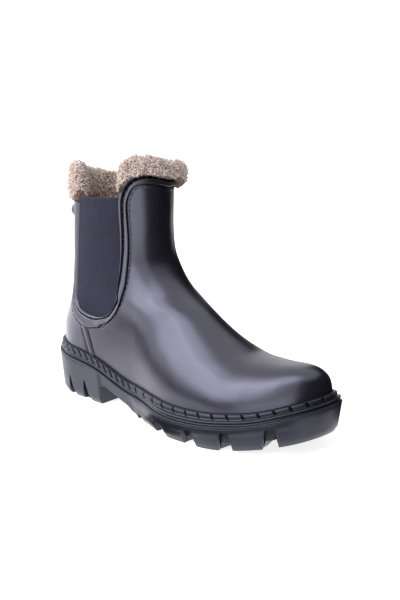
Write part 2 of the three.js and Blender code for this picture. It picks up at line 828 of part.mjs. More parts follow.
// Welt: a strip on the sole's ledge, from its edge to the skin
function welt() {
  const sections = Array.from({ length: columns }, (_, j) => {
    const round = j / columns;
    const plan = soleInset(round, weltInset);
    const top = clearance + weltHeight;
    const edge = soleTop(plan.x);
    const inner = (height) => besideSkin(round, height, clearance);
    return [
      inner(clearance), new THREE.Vector3(plan.x, plan.y, edge + clearance),
      new THREE.Vector3(plan.x, plan.y, edge + top - edgeRound), inner(top),
    ];
  });
  return loft(sections, { ring: true });
}

// Stitched rib on the welt: slanted blocks in one bar against the skin, with a slit between each two
function weltRib() {
  const middle = (ribFoot + ribTop) / 2;
  const lengths = [0];
  for (let i = 1; i <= samples; i += 1) {
    const step = skinPoint(i / samples, middle).distanceTo(skinPoint((i - 1) / samples, middle));
    lengths.push(lengths[i - 1] + step);
  }
  const total = lengths[samples];
  const roundAtLength = (length) => {
    const wrapped = ((length % total) + total) % total;
    let i = 1;
    while (lengths[i] < wrapped) i += 1;
    return (i - 1 + (wrapped - lengths[i - 1]) / (lengths[i] - lengths[i - 1])) / samples;
  };
  const count = Math.round(total / ribPitch);
  const pitch = total / count;
  const near = 2 * clearance;
  // Each block has two full sections, and the slit after it one low section at its middle
  const section = (along, top) => {
    const low = roundAtLength(along);
    const high = roundAtLength(along + (ribSlant * (top - ribFoot)) / ribHeight);
    return [
      besideSkin(low, ribFoot, near), besideSkin(low, ribFoot, near + ribDepth),
      besideSkin(high, top, near + ribDepth * ribTopShare), besideSkin(high, top, near),
    ];
  };
  const sections = Array.from({ length: count }, (_, i) => [
    section(i * pitch + ribSlit / 2, ribTop),
    section((i + 1) * pitch - ribSlit / 2, ribTop),
    section((i + 1) * pitch, ribFoot + ribBar),
  ]);
  return loft(sections.flat(), { ring: true });
}

// Fleece roll that sits on the edge: rounded sections along a run of shares round
function fleeceRoll({ from, to, steps, edgeHeight, width, heightAt }) {
  const sections = Array.from({ length: steps + 1 }, (_, i) => {
    const t = i / steps;
    const round = THREE.MathUtils.lerp(from, to, t);
    const swell = Math.sqrt(Math.sin(Math.PI * THREE.MathUtils.lerp(rollEndShare, 1 - rollEndShare, t)));
    const height = heightAt(round) * swell;
    const base = skinPoint(round, edgeHeight(round));
    const outward = skinLifted(round, edgeHeight(round), 1).sub(base).setZ(0).normalize();
    const centre = base.addScaledVector(outward, -wall - clearance);
    centre.z += height / 2 - rollSinkShare * height;
    return Array.from({ length: rollSides }, (_, k) => {
      const angle = (2 * Math.PI * (k + 0.5)) / rollSides;
      return centre.clone()
        .addScaledVector(outward, (Math.cos(angle) * width * swell) / 2)
        .add(new THREE.Vector3(0, 0, (Math.sin(angle) * height) / 2));
    });
  });
  return toSolid(loft(sections)).intersect(aboveEdge(clearance));
}

function frontRoll() {
  const [from, to] = frontRollShares;
  return fleeceRoll({
    from, to, steps: frontRollSteps, width: frontRollWidth,
    edgeHeight: (round) => shaftHeight * collarEdge(round),
    heightAt: () => frontRollHeight,
  });
}

function rearRoll() {
  return fleeceRoll({
    from: -rearRollReachShare, to: rearRollReachShare, steps: rearRollSteps, width: rearRollWidth,
    edgeHeight: () => strapTop,
    heightAt: (round) => rearRollHeight * rearRollTallShares(round),
  });
}

// Place on the strap, a share round and a height: the stud lies its gaps behind the outer strap trim and
// under the strap's upper edge
function studPlace() {
  const height = strapTop - studTopGap - studRadius;
  const edge = roundAt(rearEdge(trimOutline.rear, height), height);
  let round = edge;
  while (skinPoint(round, height).distanceTo(skinPoint(edge, height)) < studRadius + studGap) {
    round -= roundStepShare;
  }
  return [round, height];
}

// Domed stud at the top of the strap, turned to stand square on the skin
function stud() {
  const profile = new THREE.Path();
  profile.moveTo(0, 0);
  profile.lineTo(studRadius, 0);
  const [rim, shoulder] = studRimShares;
  profile.lineTo(studRadius, rim * studHeight);
  profile.bezierCurveTo(
    studRadius, shoulder * studHeight, studCrownShare * studRadius, studHeight, 0, studHeight,
  );
  const geometry = new THREE.LatheGeometry(profile.getPoints(5), 20);
  const [round, height] = studPlace();
  const base = skinLifted(round, height, clearance);
  const outward = skinLifted(round, height, 1).sub(skinPoint(round, height)).normalize();
  geometry.applyQuaternion(new THREE.Quaternion().setFromUnitVectors(new THREE.Vector3(0, 1, 0), outward));
  geometry.translate(base.x, base.y, base.z);
  return geometry;
}

// Finishes
const finishes = {
  rubber: { color: 0x26252b, roughness: 0.42, metalness: 0 },
  sole: { color: 0x1d1d20, roughness: 0.6, metalness: 0 },
  elastic: { color: 0x3b3c4a, roughness: 0.9, metalness: 0 },
  fleece: { color: 0xc9b3a2, roughness: 1, metalness: 0 },
  board: { color: 0x8b7358, roughness: 0.85, metalness: 0 },
  foam: { color: 0x3a3a3e, roughness: 0.9, metalness: 0 },
};

function named(name, shape, finish) {
  const geometry = shape instanceof THREE.BufferGeometry ? shape : toGeometry(shape);
  const mesh = new THREE.Mesh(geometry, new THREE.MeshStandardMaterial(finishes[finish]));
  mesh.name = name;
  return mesh;
}

const { vamp, counter, strap } = rubberUpper();
const lining = liningPieces();

const root = new THREE.Group();
root.add(
  named("outsole", outsole(), "sole"),
  named("welt", welt(), "sole"),
  named("welt_rib", weltRib(), "sole"),
  named("insole_board", floorPlate(clearance, boardTop), "board"),
  named("footbed", floorPlate(boardTop + clearance, footbedTop), "foam"),
  named("footbed_fleece", floorPlate(footbedTop + clearance, fleeceTop), "fleece"),
  named("vamp", vamp, "rubber"),
  named("heel_counter", counter, "rubber"),
  named("side_seam_strip_outer", seamStrip(false), "rubber"),
  named("side_seam_strip_inner", seamStrip(true), "rubber"),
  named("gusset_trim_outer", gussetTrim(false), "rubber"),
  named("gusset_trim_inner", gussetTrim(true), "rubber"),
  named("collar_band", collarBand(), "rubber"),
  named("elastic_gusset_outer", elastic(-bodyReach, 0), "elastic"),
  named("elastic_gusset_inner", elastic(0, bodyReach), "elastic"),
  named("foot_lining", lining.foot, "fleece"),
  named("gusset_lining_outer", lining.outerPanel, "fleece"),
  named("gusset_lining_inner", lining.innerPanel, "fleece"),
  named("fleece_collar_front", frontRoll(), "fleece"),
);

const backStrap = new THREE.Group();
backStrap.add(
  named("back_strap", strap, "rubber"),
  named("strap_trim_outer", strapTrim(false), "rubber"),
  named("strap_trim_inner", strapTrim(true), "rubber"),
  named("strap_lining", lining.strap, "fleece"),
  named("fleece_collar_rear", rearRoll(), "fleece"),
  named("rear_stud", stud(), "rubber"),
);

// Centre the sole's box over the origin
const sides = Array.from({ length: soleColumns }, (_, j) => solePlan(j / soleColumns).y);
const boot = new THREE.Group();
boot.position.y = -(Math.min(...sides) + Math.max(...sides)) / 2;
boot.add(root, backStrap);

export default boot;
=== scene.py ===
"""Looks of a right ankle boot of moulded rubber with a fleece lining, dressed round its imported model.

Lengths in this file are millimetres in the boot's own frame, +X to the toe, +Y to the inner side and
+Z up, until a mesh is written, which is in metres. A place on the upper is a share of the way round
from the back centre, over the outer side and the toe, and a height over the sole's edge.
"""
import logging
import math
from dataclasses import dataclass, field
from enum import Enum
from functools import lru_cache
from typing import Callable, Optional, Sequence, Union

import bmesh
import bpy
import numpy as np
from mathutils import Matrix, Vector


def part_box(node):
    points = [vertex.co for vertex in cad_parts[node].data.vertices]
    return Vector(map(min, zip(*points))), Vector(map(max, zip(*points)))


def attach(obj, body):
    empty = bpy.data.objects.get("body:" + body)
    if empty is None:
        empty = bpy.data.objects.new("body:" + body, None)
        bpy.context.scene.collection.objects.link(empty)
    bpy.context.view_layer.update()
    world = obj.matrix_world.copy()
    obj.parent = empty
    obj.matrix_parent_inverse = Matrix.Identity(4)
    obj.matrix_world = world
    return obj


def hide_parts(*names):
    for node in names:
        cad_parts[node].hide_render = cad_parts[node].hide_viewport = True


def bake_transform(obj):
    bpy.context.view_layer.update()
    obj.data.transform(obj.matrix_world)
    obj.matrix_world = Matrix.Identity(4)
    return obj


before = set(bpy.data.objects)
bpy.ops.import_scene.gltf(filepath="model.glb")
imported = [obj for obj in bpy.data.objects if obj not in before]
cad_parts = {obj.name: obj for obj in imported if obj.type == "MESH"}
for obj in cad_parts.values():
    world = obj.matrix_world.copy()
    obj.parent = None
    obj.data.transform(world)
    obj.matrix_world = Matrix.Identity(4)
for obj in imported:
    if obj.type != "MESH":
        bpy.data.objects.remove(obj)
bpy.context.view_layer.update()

Array = np.ndarray
Pairs = tuple[tuple[float, float], ...]
Operand = Union["Signal", bpy.types.NodeSocket, float, int]

log = logging.getLogger("boot")
METRE = 0.001
SEED = 41


def ease(x: Array, start: float, end: float) -> Array:
    """Smooth step from 0 at start to 1 at end."""
    t = np.clip((np.asarray(x, float) - start) / (end - start), 0, 1)
    return t * t * (3 - 2 * t)


def mix(a: Array, b: Array, share: Array) -> Array:
    """Value between a and b at a share."""
    return a + (b - a) * share


def unit(vectors: Array) -> Array:
    """Vectors scaled to length one."""
    return vectors / np.maximum(np.linalg.norm(vectors, axis=-1, keepdims=True), 1e-9)


def lengths(run: Array) -> Array:
    """Length of the way along a run of points up to each of them."""
    return np.concatenate([[0], np.cumsum(np.linalg.norm(np.diff(run, axis=0), axis=1))])


def along(run: Array, length: Array, places: Array) -> Array:
    """Points of a run at places given as lengths along it."""
    return np.stack([np.interp(places, length, part) for part in run.T], -1)


def read(table: Pairs, place: Array) -> Array:
    """Value at a place between pairs of place and value, and 0 outside them."""
    places, values = zip(*table)
    return np.interp(place, places, values, left=0, right=0)


@dataclass(frozen=True)
class Curve:
    """Curve near pairs of place and value, its bends eased over a reach that may grow with the place."""

    pairs: Pairs
    reach: float = 0.0
    growth: float = 0.0

    def __call__(self, place: Array) -> Array:
        """Value of the curve.

        Args:
            place: Places along the curve, of any shape.

        Returns:
            The values there, in the same shape.
        """
        place = np.asarray(place, float)
        if self.reach == self.growth == 0:
            return self.through(place)
        step = (self.reach + self.growth * place) / 2
        weights = (1, 2, 3, 2, 1)
        total = sum(weight * self.through(place + (i - 2) * step) for i, weight in enumerate(weights))
        return total / sum(weights)

    def through(self, place: Array) -> Array:
        """Value of the curve through the pairs, which doesn't swing past them."""
        xs, ys = np.array(self.pairs, float).T
        spans = np.diff(xs)
        slopes = np.diff(ys) / spans
        tangents = np.concatenate([slopes[:1], np.zeros(len(xs) - 2), slopes[-1:]])
        for i in range(1, len(xs) - 1):
            if slopes[i - 1] * slopes[i] > 0:
                before, after = 2 * spans[i] + spans[i - 1], spans[i] + 2 * spans[i - 1]
                tangents[i] = (before + after) / (before / slopes[i - 1] + after / slopes[i])
        x = np.clip(place, xs[0], xs[-1])
        i = np.clip(np.searchsorted(xs, x, side="right") - 1, 0, len(spans) - 1)
        t = (x - xs[i]) / spans[i]
        return ((2 * t**3 - 3 * t**2 + 1) * ys[i] + (t**3 - 2 * t**2 + t) * spans[i] * tangents[i]
                + (3 * t**2 - 2 * t**3) * ys[i + 1] + (t**3 - t**2) * spans[i] * tangents[i + 1])


def round_end(distance: Array, radius: Array, fullness: float) -> Array:
    """Quarter-round end of an outline: 0 at its tip, 1 once it is past the rounding."""
    t = np.clip(distance / radius, 0, 1)
    return (1 - (1 - t) ** fullness) ** (1 / fullness)


@dataclass(frozen=True)
class BootForm:
    """Outline of the sole and skin of the upper, the same forms as the part's solids."""

    half: float = 146.0
    shaft: float = 175.0
    shaft_half: float = 36.0
    shaft_base: float = 34.0
    toe_spring: float = 17.0
    spring_start: float = .34
    toe_swing: float = 20.0
    swing_start: float = -.274
    swing_fade: tuple[float, float] = (.114, .629)
    shaft_rise: tuple[float, float] = (.086, .514)
    base_rise: tuple[float, float] = (0, .63)
    edge: Curve = Curve(((-1, 40), (-.58, 35), (-.205, 22), (.205, 20), (.616, 26), (1, 44)))
    outer_half: Curve = Curve(
        ((-1, 38), (-.753, 38), (-.205, 39), (.171, 55), (.411, 55), (.753, 50), (1, 50)), .1)
    inner_half: Curve = Curve(
        ((-1, 38), (-.753, 38), (-.205, 36), (.171, 46), (.411, 52), (.753, 50), (1, 50)), .1)
    ledge: Curve = Curve(((-1, 4), (-.14, 4), (.14, 8.3), (1, 8.3)), .08)
    front: Curve = Curve((
        (0, .938), (.046, .952), (.103, .943), (.149, .922), (.188, .88), (.218, .81), (.2355, .7),
        (.2415, .59), (.254, .487), (.287, .38), (.336, .262), (.398, .132), (.452, -.007), (.532, -.108),
        (.614, -.163), (.743, -.182), (.8, -.18), (1, -.178)), growth=.045)
    back: Curve = Curve((
        (0, -.945), (.069, -.959), (.143, -.955), (.229, -.925), (.343, -.88), (.457, -.86),
        (.571, -.849), (.8, -.849), (1, -.856)), .03)
    front_round: Curve = Curve((
        (0, .548), (.086, .548), (.154, .589), (.206, .685), (.257, .753), (.343, .651), (.429, .548),
        (.571, .411), (.743, .342), (1, .322)), growth=.12)
    back_round: Curve = Curve(((0, .233), (.143, .233), (.343, .26), (.571, .288), (1, .315)), growth=.12)
    heel_end: tuple[float, float] = (38, 2.1)
    toe_end: tuple[float, float] = (90, 2.15)
    fullness: float = 2.1
    toe_tip: tuple[float, float] = (.046, .952)
    toe_round: float = .548
    dome: tuple[float, float] = (2.8, 2.35)
    dome_start: tuple[float, float] = (-.479, .034)
    dome_fade: tuple[float, float] = (.3, .62)
    ridge_reach: tuple[float, float] = (.046, .743)
    soft_reach: tuple[float, float] = (18.0, .04)
    soft_rise: tuple[float, float] = (.22, .5)
    soft_grid: tuple[int, int] = (720, 380)
    soft_top: float = 190.0
    plan_step: float = .002
    turn_step: float = .004
    rise_step: float = .4

    def sole_top(self, x: Array) -> Array:
        """Height of the sole's upper edge."""
        return self.edge(np.asarray(x) / self.half)

    def tread(self, x: Array) -> Array:
        """Height of the tread, which springs up to the toe."""
        share = (np.asarray(x) / self.half - self.spring_start) / (1 - self.spring_start)
        return self.toe_spring * np.maximum(0, share) ** 2

    def swing(self, x: Array) -> Array:
        """Sideways swing of the foot's middle line towards the inner side."""
        share = (np.asarray(x) / self.half - self.swing_start) / (1 - self.swing_start)
        return self.toe_swing * np.clip(share, 0, 1) ** 2

    def plan(self, turn: Array) -> Array:
        """Sole outline in plan at shares round, as x and y."""
        turn = np.mod(turn, 1.0)
        x = -np.cos(2 * np.pi * turn) * self.half
        side = np.where(turn < .5, self.outer_half(x / self.half), self.inner_half(x / self.half))
        ends = round_end(x + self.half, *self.heel_end) * round_end(self.half - x, *self.toe_end)
        return np.stack([x, np.where(turn < .5, -1, 1) * side * ends + self.swing(x)], -1)

    def inset(self, turn: Array, depth: Array) -> Array:
        """Sole outline moved inwards by a depth."""
        along = unit(self.plan(turn + self.plan_step) - self.plan(turn - self.plan_step))
        outward = np.stack([along[..., 1], -along[..., 0]], -1)
        return self.plan(turn) - outward * np.broadcast_to(depth, np.shape(turn))[..., None]

    def ridge(self, x: Array) -> Array:
        """Share of the shaft's height at which the front line stands over a place along the foot."""
        shares = np.linspace(*self.ridge_reach, 20001)
        return np.interp(-x, -self.half * self.front(shares), shares)

    def front_end(self, x: Array, front: Array, share: Array) -> Array:
        """Share of its full width that the upper has near its front: a dome low down, a round edge above.

        Args:
            x: Places along the foot.
            front: The front line's x at the same heights.
            share: The heights as shares of the shaft's.

        Returns:
            The shares of the width.
        """
        tip = np.where(share < self.toe_tip[0], front, self.half * self.toe_tip[1])
        level = np.clip(share / self.ridge(x), 0, 1) * ease(x / self.half, *self.dome_start)
        rise, close = self.dome
        dome = round_end(tip - x, self.half * self.toe_round, self.fullness)
        dome = dome * (1 - level ** rise) ** (1 / close)
        upright = round_end(front - x, self.half * self.front_round(share), self.fullness)
        fade = ease(share, *self.dome_fade)
        return dome ** (1 - fade) * upright ** fade

    def section(self, turn: Array, height: Array) -> tuple[Array, Array]:
        """Places along the foot and signed half widths at shares round and heights, before softening."""
        share = height / self.shaft
        back, front = self.half * self.back(share), self.half * self.front(share)
        x = back + (front - back) * (1 - np.cos(2 * np.pi * turn)) / 2
        outer = turn < .5
        foot = np.where(outer, self.outer_half(x / self.half), self.inner_half(x / self.half))
        half = mix(foot - self.ledge(x / self.half), self.shaft_half, ease(share, *self.shaft_rise))
        heel = round_end(x - back, self.half * self.back_round(share), self.fullness)
        return x, np.where(outer, -1, 1) * half * (heel * self.front_end(x, front, share))

    @lru_cache(maxsize=1)
    def soft_sides(self) -> Array:
        """Half widths on an even grid of heights and shares round, each averaged over its surroundings."""
        columns, rows = self.soft_grid
        turns, heights = np.meshgrid(np.linspace(0, 1, columns + 1), np.linspace(0, self.soft_top, rows + 1))
        side = self.section(turns, heights)[1][:, :-1]
        steps = self.soft_reach[0] / self.soft_top * rows, self.soft_reach[1] * columns
        for axis, (step, mode) in enumerate(zip(steps, ("edge", "wrap"))):
            reach = np.arange(-int(3 * step), int(3 * step) + 1)
            weights = np.exp(-.5 * (reach / step) ** 2)
            pads = [(0, 0), (0, 0)]
            pads[axis] = (len(reach) // 2, len(reach) // 2)
            padded = np.moveaxis(np.pad(side, pads, mode=mode), axis, 0)
            count = side.shape[axis]
            total = sum(weight * padded[k:k + count] for k, weight in enumerate(weights / weights.sum()))
            side = np.moveaxis(total, 0, axis)
        return np.concatenate([side, side[:, :1]], 1)

    def softened(self, turn: Array, height: Array) -> Array:
        """Half widths read off the grid of averages."""
        table = self.soft_sides()
        columns, rows = self.soft_grid
        row = np.clip(height / self.soft_top * rows, 0, rows - .001)
        column = np.clip(turn * columns, 0, columns - .001)
        i, j = row.astype(int), column.astype(int)
        u, v = row - i, column - j
        return mix(mix(table[i, j], table[i, j + 1], v), mix(table[i + 1, j], table[i + 1, j + 1], v), u)

    def skin(self, turn: Array, height: Array) -> Array:
        """Point on the upper's outer face at a share round and a height over the sole's edge."""
        turn, height = np.broadcast_arrays(np.mod(turn, 1.0), np.asarray(height, float))
        share = height / self.shaft
        x, side = self.section(turn, height)
        side = mix(side, self.softened(turn, height), ease(share, *self.soft_rise))
        y = side + self.swing(x) * (1 - ease(share, *self.swing_fade))
        z = height + mix(self.sole_top(x), self.shaft_base, ease(share, *self.base_rise))
        return np.stack([x, y, z], -1)

    def normal(self, turn: Array, height: Array) -> Array:
        """Outward direction of the upper's face."""
        step = self.rise_step
        along = self.skin(turn + self.turn_step, height) - self.skin(turn - self.turn_step, height)
        rise = self.skin(turn, height + step) - self.skin(turn, np.maximum(0, height - step))
        return unit(np.cross(along, rise))

    def lifted(self, turn: Array, height: Array, lift: Array) -> Array:
        """Point at a lift over the upper's face, below it where the lift is negative."""
        turn, height, lift = np.broadcast_arrays(
            np.asarray(turn, float), np.asarray(height, float), np.asarray(lift, float))
        return self.skin(turn, height) + self.normal(turn, height) * lift[..., None]

    def beside(self, turn: Array, height: Array, out: Array) -> Array:
        """Point beside the upper's foot whose height is measured over the sole's edge below it."""
        point = self.lifted(turn, height, out)
        point[..., 2] = self.sole_top(point[..., 0]) + np.broadcast_to(height, point.shape[:-1])
        return point

    def turn_at(self, x: Array, height: Array) -> Array:
        """Share round on the outer side where the upper has a given x."""
        share = np.asarray(height, float) / self.shaft
        back, front = self.half * self.back(share), self.half * self.front(share)
        return np.arccos(1 - 2 * np.clip((x - back) / (front - back), 0, 1)) / (2 * np.pi)

    def shift(self) -> float:
        """Sideways shift that centres the sole over the origin."""
        sides = self.plan(np.arange(60) / 60)[:, 1]
        return -(sides.min() + sides.max()) / 2


FORM = BootForm()
SHIFT = Vector((0.0, FORM.shift(), 0.0))


@dataclass(frozen=True)
class GussetOutline:
    """Side view of a gusset's opening, or of the border of the trim round it."""

    front: float
    rear: float
    floor: float
    front_rise: float
    sag: float
    top: float = 158.0
    strap_base: float = 62.0
    strap_height: float = 96.0
    strap_lean: float = 8.12
    lowest: float = .34
    front_pull: tuple[float, float] = (.28, .55)
    rear_pull: tuple[float, float] = (.15, .45)
    top_lean: float = .03

    def branches(self) -> tuple[Array, Array]:
        """The front and the rear run, each from the lowest place up.

        Returns:
            Two arrays of x and height.
        """
        width = self.front - self.rear
        lowest = (self.rear + self.lowest * width, self.floor)
        across, up = self.front_pull
        front = self.bend(
            lowest, (self.front - across * width, self.floor + self.sag),
            (self.front, self.floor + up * self.front_rise), (self.front, self.floor + self.front_rise))
        front = np.vstack([front, [(self.front - self.top_lean * width, self.top)]])
        across, up = self.rear_pull
        rear = self.bend(
            lowest, (self.rear + across * width, self.floor),
            (self.rear, mix(self.floor, self.strap_base, up)), (self.rear, self.strap_base))
        heights = np.linspace(self.strap_base, self.top, 40)[1:]
        return front, np.vstack([rear, np.stack([self.rear_edge(heights), heights], -1)])

    @staticmethod
    def bend(a: Sequence[float], b: Sequence[float], c: Sequence[float], d: Sequence[float]) -> Array:
        """Points of a cubic bend."""
        t = np.linspace(0, 1, 60)[:, None]
        a, b, c, d = (np.array(p, float) for p in (a, b, c, d))
        return (1 - t) ** 3 * a + 3 * t * (1 - t) ** 2 * b + 3 * t**2 * (1 - t) * c + t**3 * d

    def rear_edge(self, height: Array) -> Array:
        """Rear edge above the strap's base, which leans forward towards the top."""
        rise = np.maximum(0, (np.asarray(height) - self.strap_base) / self.strap_height)
        return self.rear + self.strap_lean * rise ** 1.6

    def x_at(self, height: Array, rear: bool = False) -> Array:
        """x of the front run at a height, or of the rear one."""
        x, rise = self.branches()[rear].T
        return np.interp(height, rise, x)


OPENING = GussetOutline(-47.94, -105.94, 46.3, 34, 0)
BORDER = GussetOutline(-40.94, -113.94, 33.3, 55, 9.9)
STRAP_TOP = 147.0
GUSSET_TOP = 158.0

COLLAR_EDGE: Pairs = (
    (.3435, .914), (.346, .94), (.35, .963), (.359, .983), (.374, 1.005), (.396, 1.02), (.434, 1.025),
    (.485, 1.01), (.53, .99), (.57, .985), (.61, .99), (.63, .98), (.643, .962), (.652, .935), (.6565, .914))
COLLAR_LOW: Pairs = (
    (.3745, .9), (.375, .917), (.3765, .932), (.379, .945), (.387, .96), (.404, .972), (.44, .971),
    (.485, .957), (.53, .938), (.57, .934), (.598, .937), (.613, .932), (.621, .922), (.624, .911),
    (.6255, .9))


SEAM_FOOT = -81.0
SEAM_LEAN = -.373


def seam_x(height: Array) -> Array:
    """x of the side seam between the vamp and the heel counter."""
    return SEAM_FOOT + SEAM_LEAN * np.asarray(height)


@dataclass(frozen=True)
class TrimPath:
    """Run of the moulded border from one strap's top round both gussets and the collar to the other's."""

    step: float = .8
    bend: float = 16.0
    bend_fade: tuple[float, float] = (1.6, .7)
    reach: int = 5
    bend_reaches: tuple[int, int] = (12, 8)

    @lru_cache
    def lines(self) -> tuple[Array, Array, int]:
        """The border's two edges as places on the skin, evenly stepped.

        Returns:
            The edge at the openings and the outer one, each with shares round and heights, and the station
            at the collar's first corner.
        """
        runs = [self.leg_and_bowl(outline) for outline in (OPENING, BORDER)]
        whole = []
        for run, table in zip(runs, (COLLAR_EDGE, COLLAR_LOW)):
            places = np.linspace(0, len(table) - 1, 150)
            turn, share = (Curve(tuple((i, p[k]) for i, p in enumerate(table)))(places) for k in (0, 1))
            collar = np.stack([turn, np.maximum(share * FORM.shaft, GUSSET_TOP + .3)], -1)
            mirrored = np.stack([1 - run[::-1, 0], run[::-1, 1]], -1)
            whole.append(np.vstack([run, collar[3:-3], mirrored]))
        middle = sum(FORM.skin(w[:, 0], w[:, 1]) for w in whole) / 2
        length = lengths(middle)
        keep = np.concatenate([[True], np.diff(length) > 1e-6])
        even = np.linspace(0, length[-1], int(length[-1] / self.step))
        corner = int(np.searchsorted(even, length[len(runs[0])] + 2))
        stepped = [along(w[keep], length[keep], even) for w in whole]
        low = int(np.argmin(stepped[1][:corner, 1]))
        inner, outer = (self.rounded(w, (low, corner)) for w in stepped)
        return inner, outer, corner

    def leg_and_bowl(self, outline: GussetOutline) -> Array:
        """One side's run: down the strap's edge, round the gusset's foot and up its front."""
        front, rear = outline.branches()
        leg = rear[(rear[:, 1] >= outline.strap_base) & (rear[:, 1] <= STRAP_TOP + 3)]
        bowl = rear[rear[:, 1] <= outline.strap_base][::-1]
        loop = self.even(np.vstack([bowl, front[1:]]), 160)
        rise = np.linspace(STRAP_TOP - .6, outline.strap_base, 60)
        leg = np.stack([np.interp(rise, leg[:, 1], leg[:, 0]), rise], -1)
        side = np.vstack([leg[:-1], loop])
        return np.stack([FORM.turn_at(side[:, 0], side[:, 1]), side[:, 1]], -1)

    def rounded(self, run: Array, bends: tuple[int, ...]) -> Array:
        """Run with its small kinks taken out, bent round at some stations and at their mirrored ones."""
        station = np.arange(len(run))
        ends = [k for low in bends for k in (low, len(run) - 1 - low)]
        away = np.min([abs(station - k) for k in ends], axis=0) * self.step / self.bend
        share = ease(away, *self.bend_fade)[:, None]
        soft = self.smoothed(run, self.reach)
        for reach in self.bend_reaches:
            soft = mix(soft, self.smoothed(soft, reach), share)
        return soft

    @staticmethod
    def even(points: Array, count: int) -> Array:
        """Points spaced evenly along a run."""
        length = lengths(points)
        return along(points, length, np.linspace(0, length[-1], count))

    @staticmethod
    def smoothed(run: Array, reach: int) -> Array:
        """Run averaged over neighbours, its ends kept."""
        weights = np.hanning(2 * reach + 3)[1:-1]
        weights /= weights.sum()
        padded = np.vstack([
            2 * run[0] - run[1:reach + 1][::-1], run, 2 * run[-1] - run[-reach - 1:-1][::-1]])
        return np.stack([np.convolve(padded[:, k], weights, "valid") for k in (0, 1)], -1)

    def at(self, across: float) -> Array:
        """Line at a share of the way from the opening's edge to the outer one."""
        inner, outer, _ = self.lines()
        return inner + (outer - inner) * across

    def side(self, across: float) -> tuple[Array, Array]:
        """The line at such a share on the outer side: its runs from its lowest place to the strap and collar.

        Args:
            across: Share of the way from the opening's edge to the outer one.

        Returns:
            The rear and the front run, each with shares round and heights.
        """
        run = self.at(across)[:self.lines()[2] + 1]
        low = np.argmin(run[:, 1])
        return run[low::-1], run[low:]


TRIM = TrimPath()


class Body(Enum):
    """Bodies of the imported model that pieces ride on."""

    BOOT = "boot"
    STRAP = "strap"


class Slot(Enum):
    """Names of material slots for the pieces made here, which this script doesn't assign."""

    UPPER = "rubber_upper"
    SOLE = "rubber_sole"
    ELASTIC = "elastic"
    FLEECE = "fleece"


# Making pieces

def welded(bm: bmesh.types.BMesh, distance: float) -> None:
    """Merge vertices that lie on each other, and drop faces that this leaves without area."""
    bmesh.ops.remove_doubles(bm, verts=bm.verts[:], dist=distance)
    bmesh.ops.dissolve_degenerate(bm, edges=bm.edges[:], dist=1e-7)


def placed(name: str, mesh: bpy.types.Mesh) -> bpy.types.Object:
    """Object of a mesh, smooth all over, in the scene."""
    mesh.polygons.foreach_set("use_smooth", [True] * len(mesh.polygons))
    mesh.update()
    piece = bpy.data.objects.new(name, mesh)
    bpy.context.scene.collection.objects.link(piece)
    return piece


def link(name: str, bm: bmesh.types.BMesh, smooth: Optional[float] = None) -> bpy.types.Object:
    """Object from a bmesh, at the origin.

    Args:
        name: Name of the piece.
        bm: Its shape in metres, freed here.
        smooth: Angle in degrees over which an edge stays sharp, or None for smooth all over.

    Returns:
        The object, in the scene.
    """
    mesh = bpy.data.meshes.new(name)
    bm.to_mesh(mesh)
    bm.free()
    piece = placed(name, mesh)
    if smooth is not None:
        mesh.set_sharp_from_angle(angle=math.radians(smooth))
    return piece


def sheet_mesh(points: Array, flow: Optional[Array] = None, outward: Optional[Array] = None,
               weld: float = 0.01, closed: bool = False) -> bmesh.types.BMesh:
    """Grid moved onto a form.

    Args:
        points: Places in millimetres, rows by columns by three.
        flow: Lengths along the surface for the UV map, rows by columns by two, or None.
        outward: Outward directions, in the shape of points, or None for a closed body.
        weld: Distance in millimetres under which vertices merge.
        closed: Whether open ends are filled and the whole turned to face out.

    Returns:
        The bmesh, in metres.
    """
    rows, columns = points.shape[:2]
    bm = bmesh.new()
    layer = bm.loops.layers.uv.new("flow")
    bmesh.ops.create_grid(bm, x_segments=columns - 1, y_segments=rows - 1, size=1.0)
    places = np.array([v.co[:2] for v in bm.verts])
    low, span = places.min(0), np.ptp(places, axis=0)
    column = np.rint((places[:, 0] - low[0]) / span[0] * (columns - 1)).astype(int)
    row = np.rint((places[:, 1] - low[1]) / span[1] * (rows - 1)).astype(int)
    target = (points[row, column] + np.array(SHIFT)) * METRE
    for vert, place in zip(bm.verts, target):
        vert.co = place
    if flow is not None:
        run = flow[row, column] * METRE
        bm.verts.index_update()
        for face in bm.faces:
            for loop in face.loops:
                loop[layer].uv = run[loop.vert.index]
    bm.normal_update()
    if outward is not None:
        away = outward[row, column]
        facing = sum(Vector(away[v.index]).dot(v.normal) for v in bm.verts)
        if facing < 0:
            bmesh.ops.reverse_faces(bm, faces=bm.faces[:])
    if weld:
        welded(bm, weld * METRE)
    if closed:
        bmesh.ops.holes_fill(bm, edges=[e for e in bm.edges if e.is_boundary], sides=0)
        bmesh.ops.recalc_face_normals(bm, faces=bm.faces[:])
    return bm


def repeated(template: bmesh.types.BMesh, count: int) -> bpy.types.Mesh:
    """Mesh with a small shape repeated, copy after copy in the order of its vertices.

    Args:
        template: The shape, freed here.
        count: Number of copies.

    Returns:
        A mesh with the copies all in one place.
    """
    mesh = bpy.data.meshes.new("copies")
    size = len(template.verts)
    made = 1
    while made < count:
        template.to_mesh(mesh)
        template.from_mesh(mesh)
        made *= 2
    template.verts.ensure_lookup_table()
    spare = template.verts[size * count:]
    bmesh.ops.delete(template, geom=spare, context="VERTS")
    template.to_mesh(mesh)
    template.free()
    return mesh


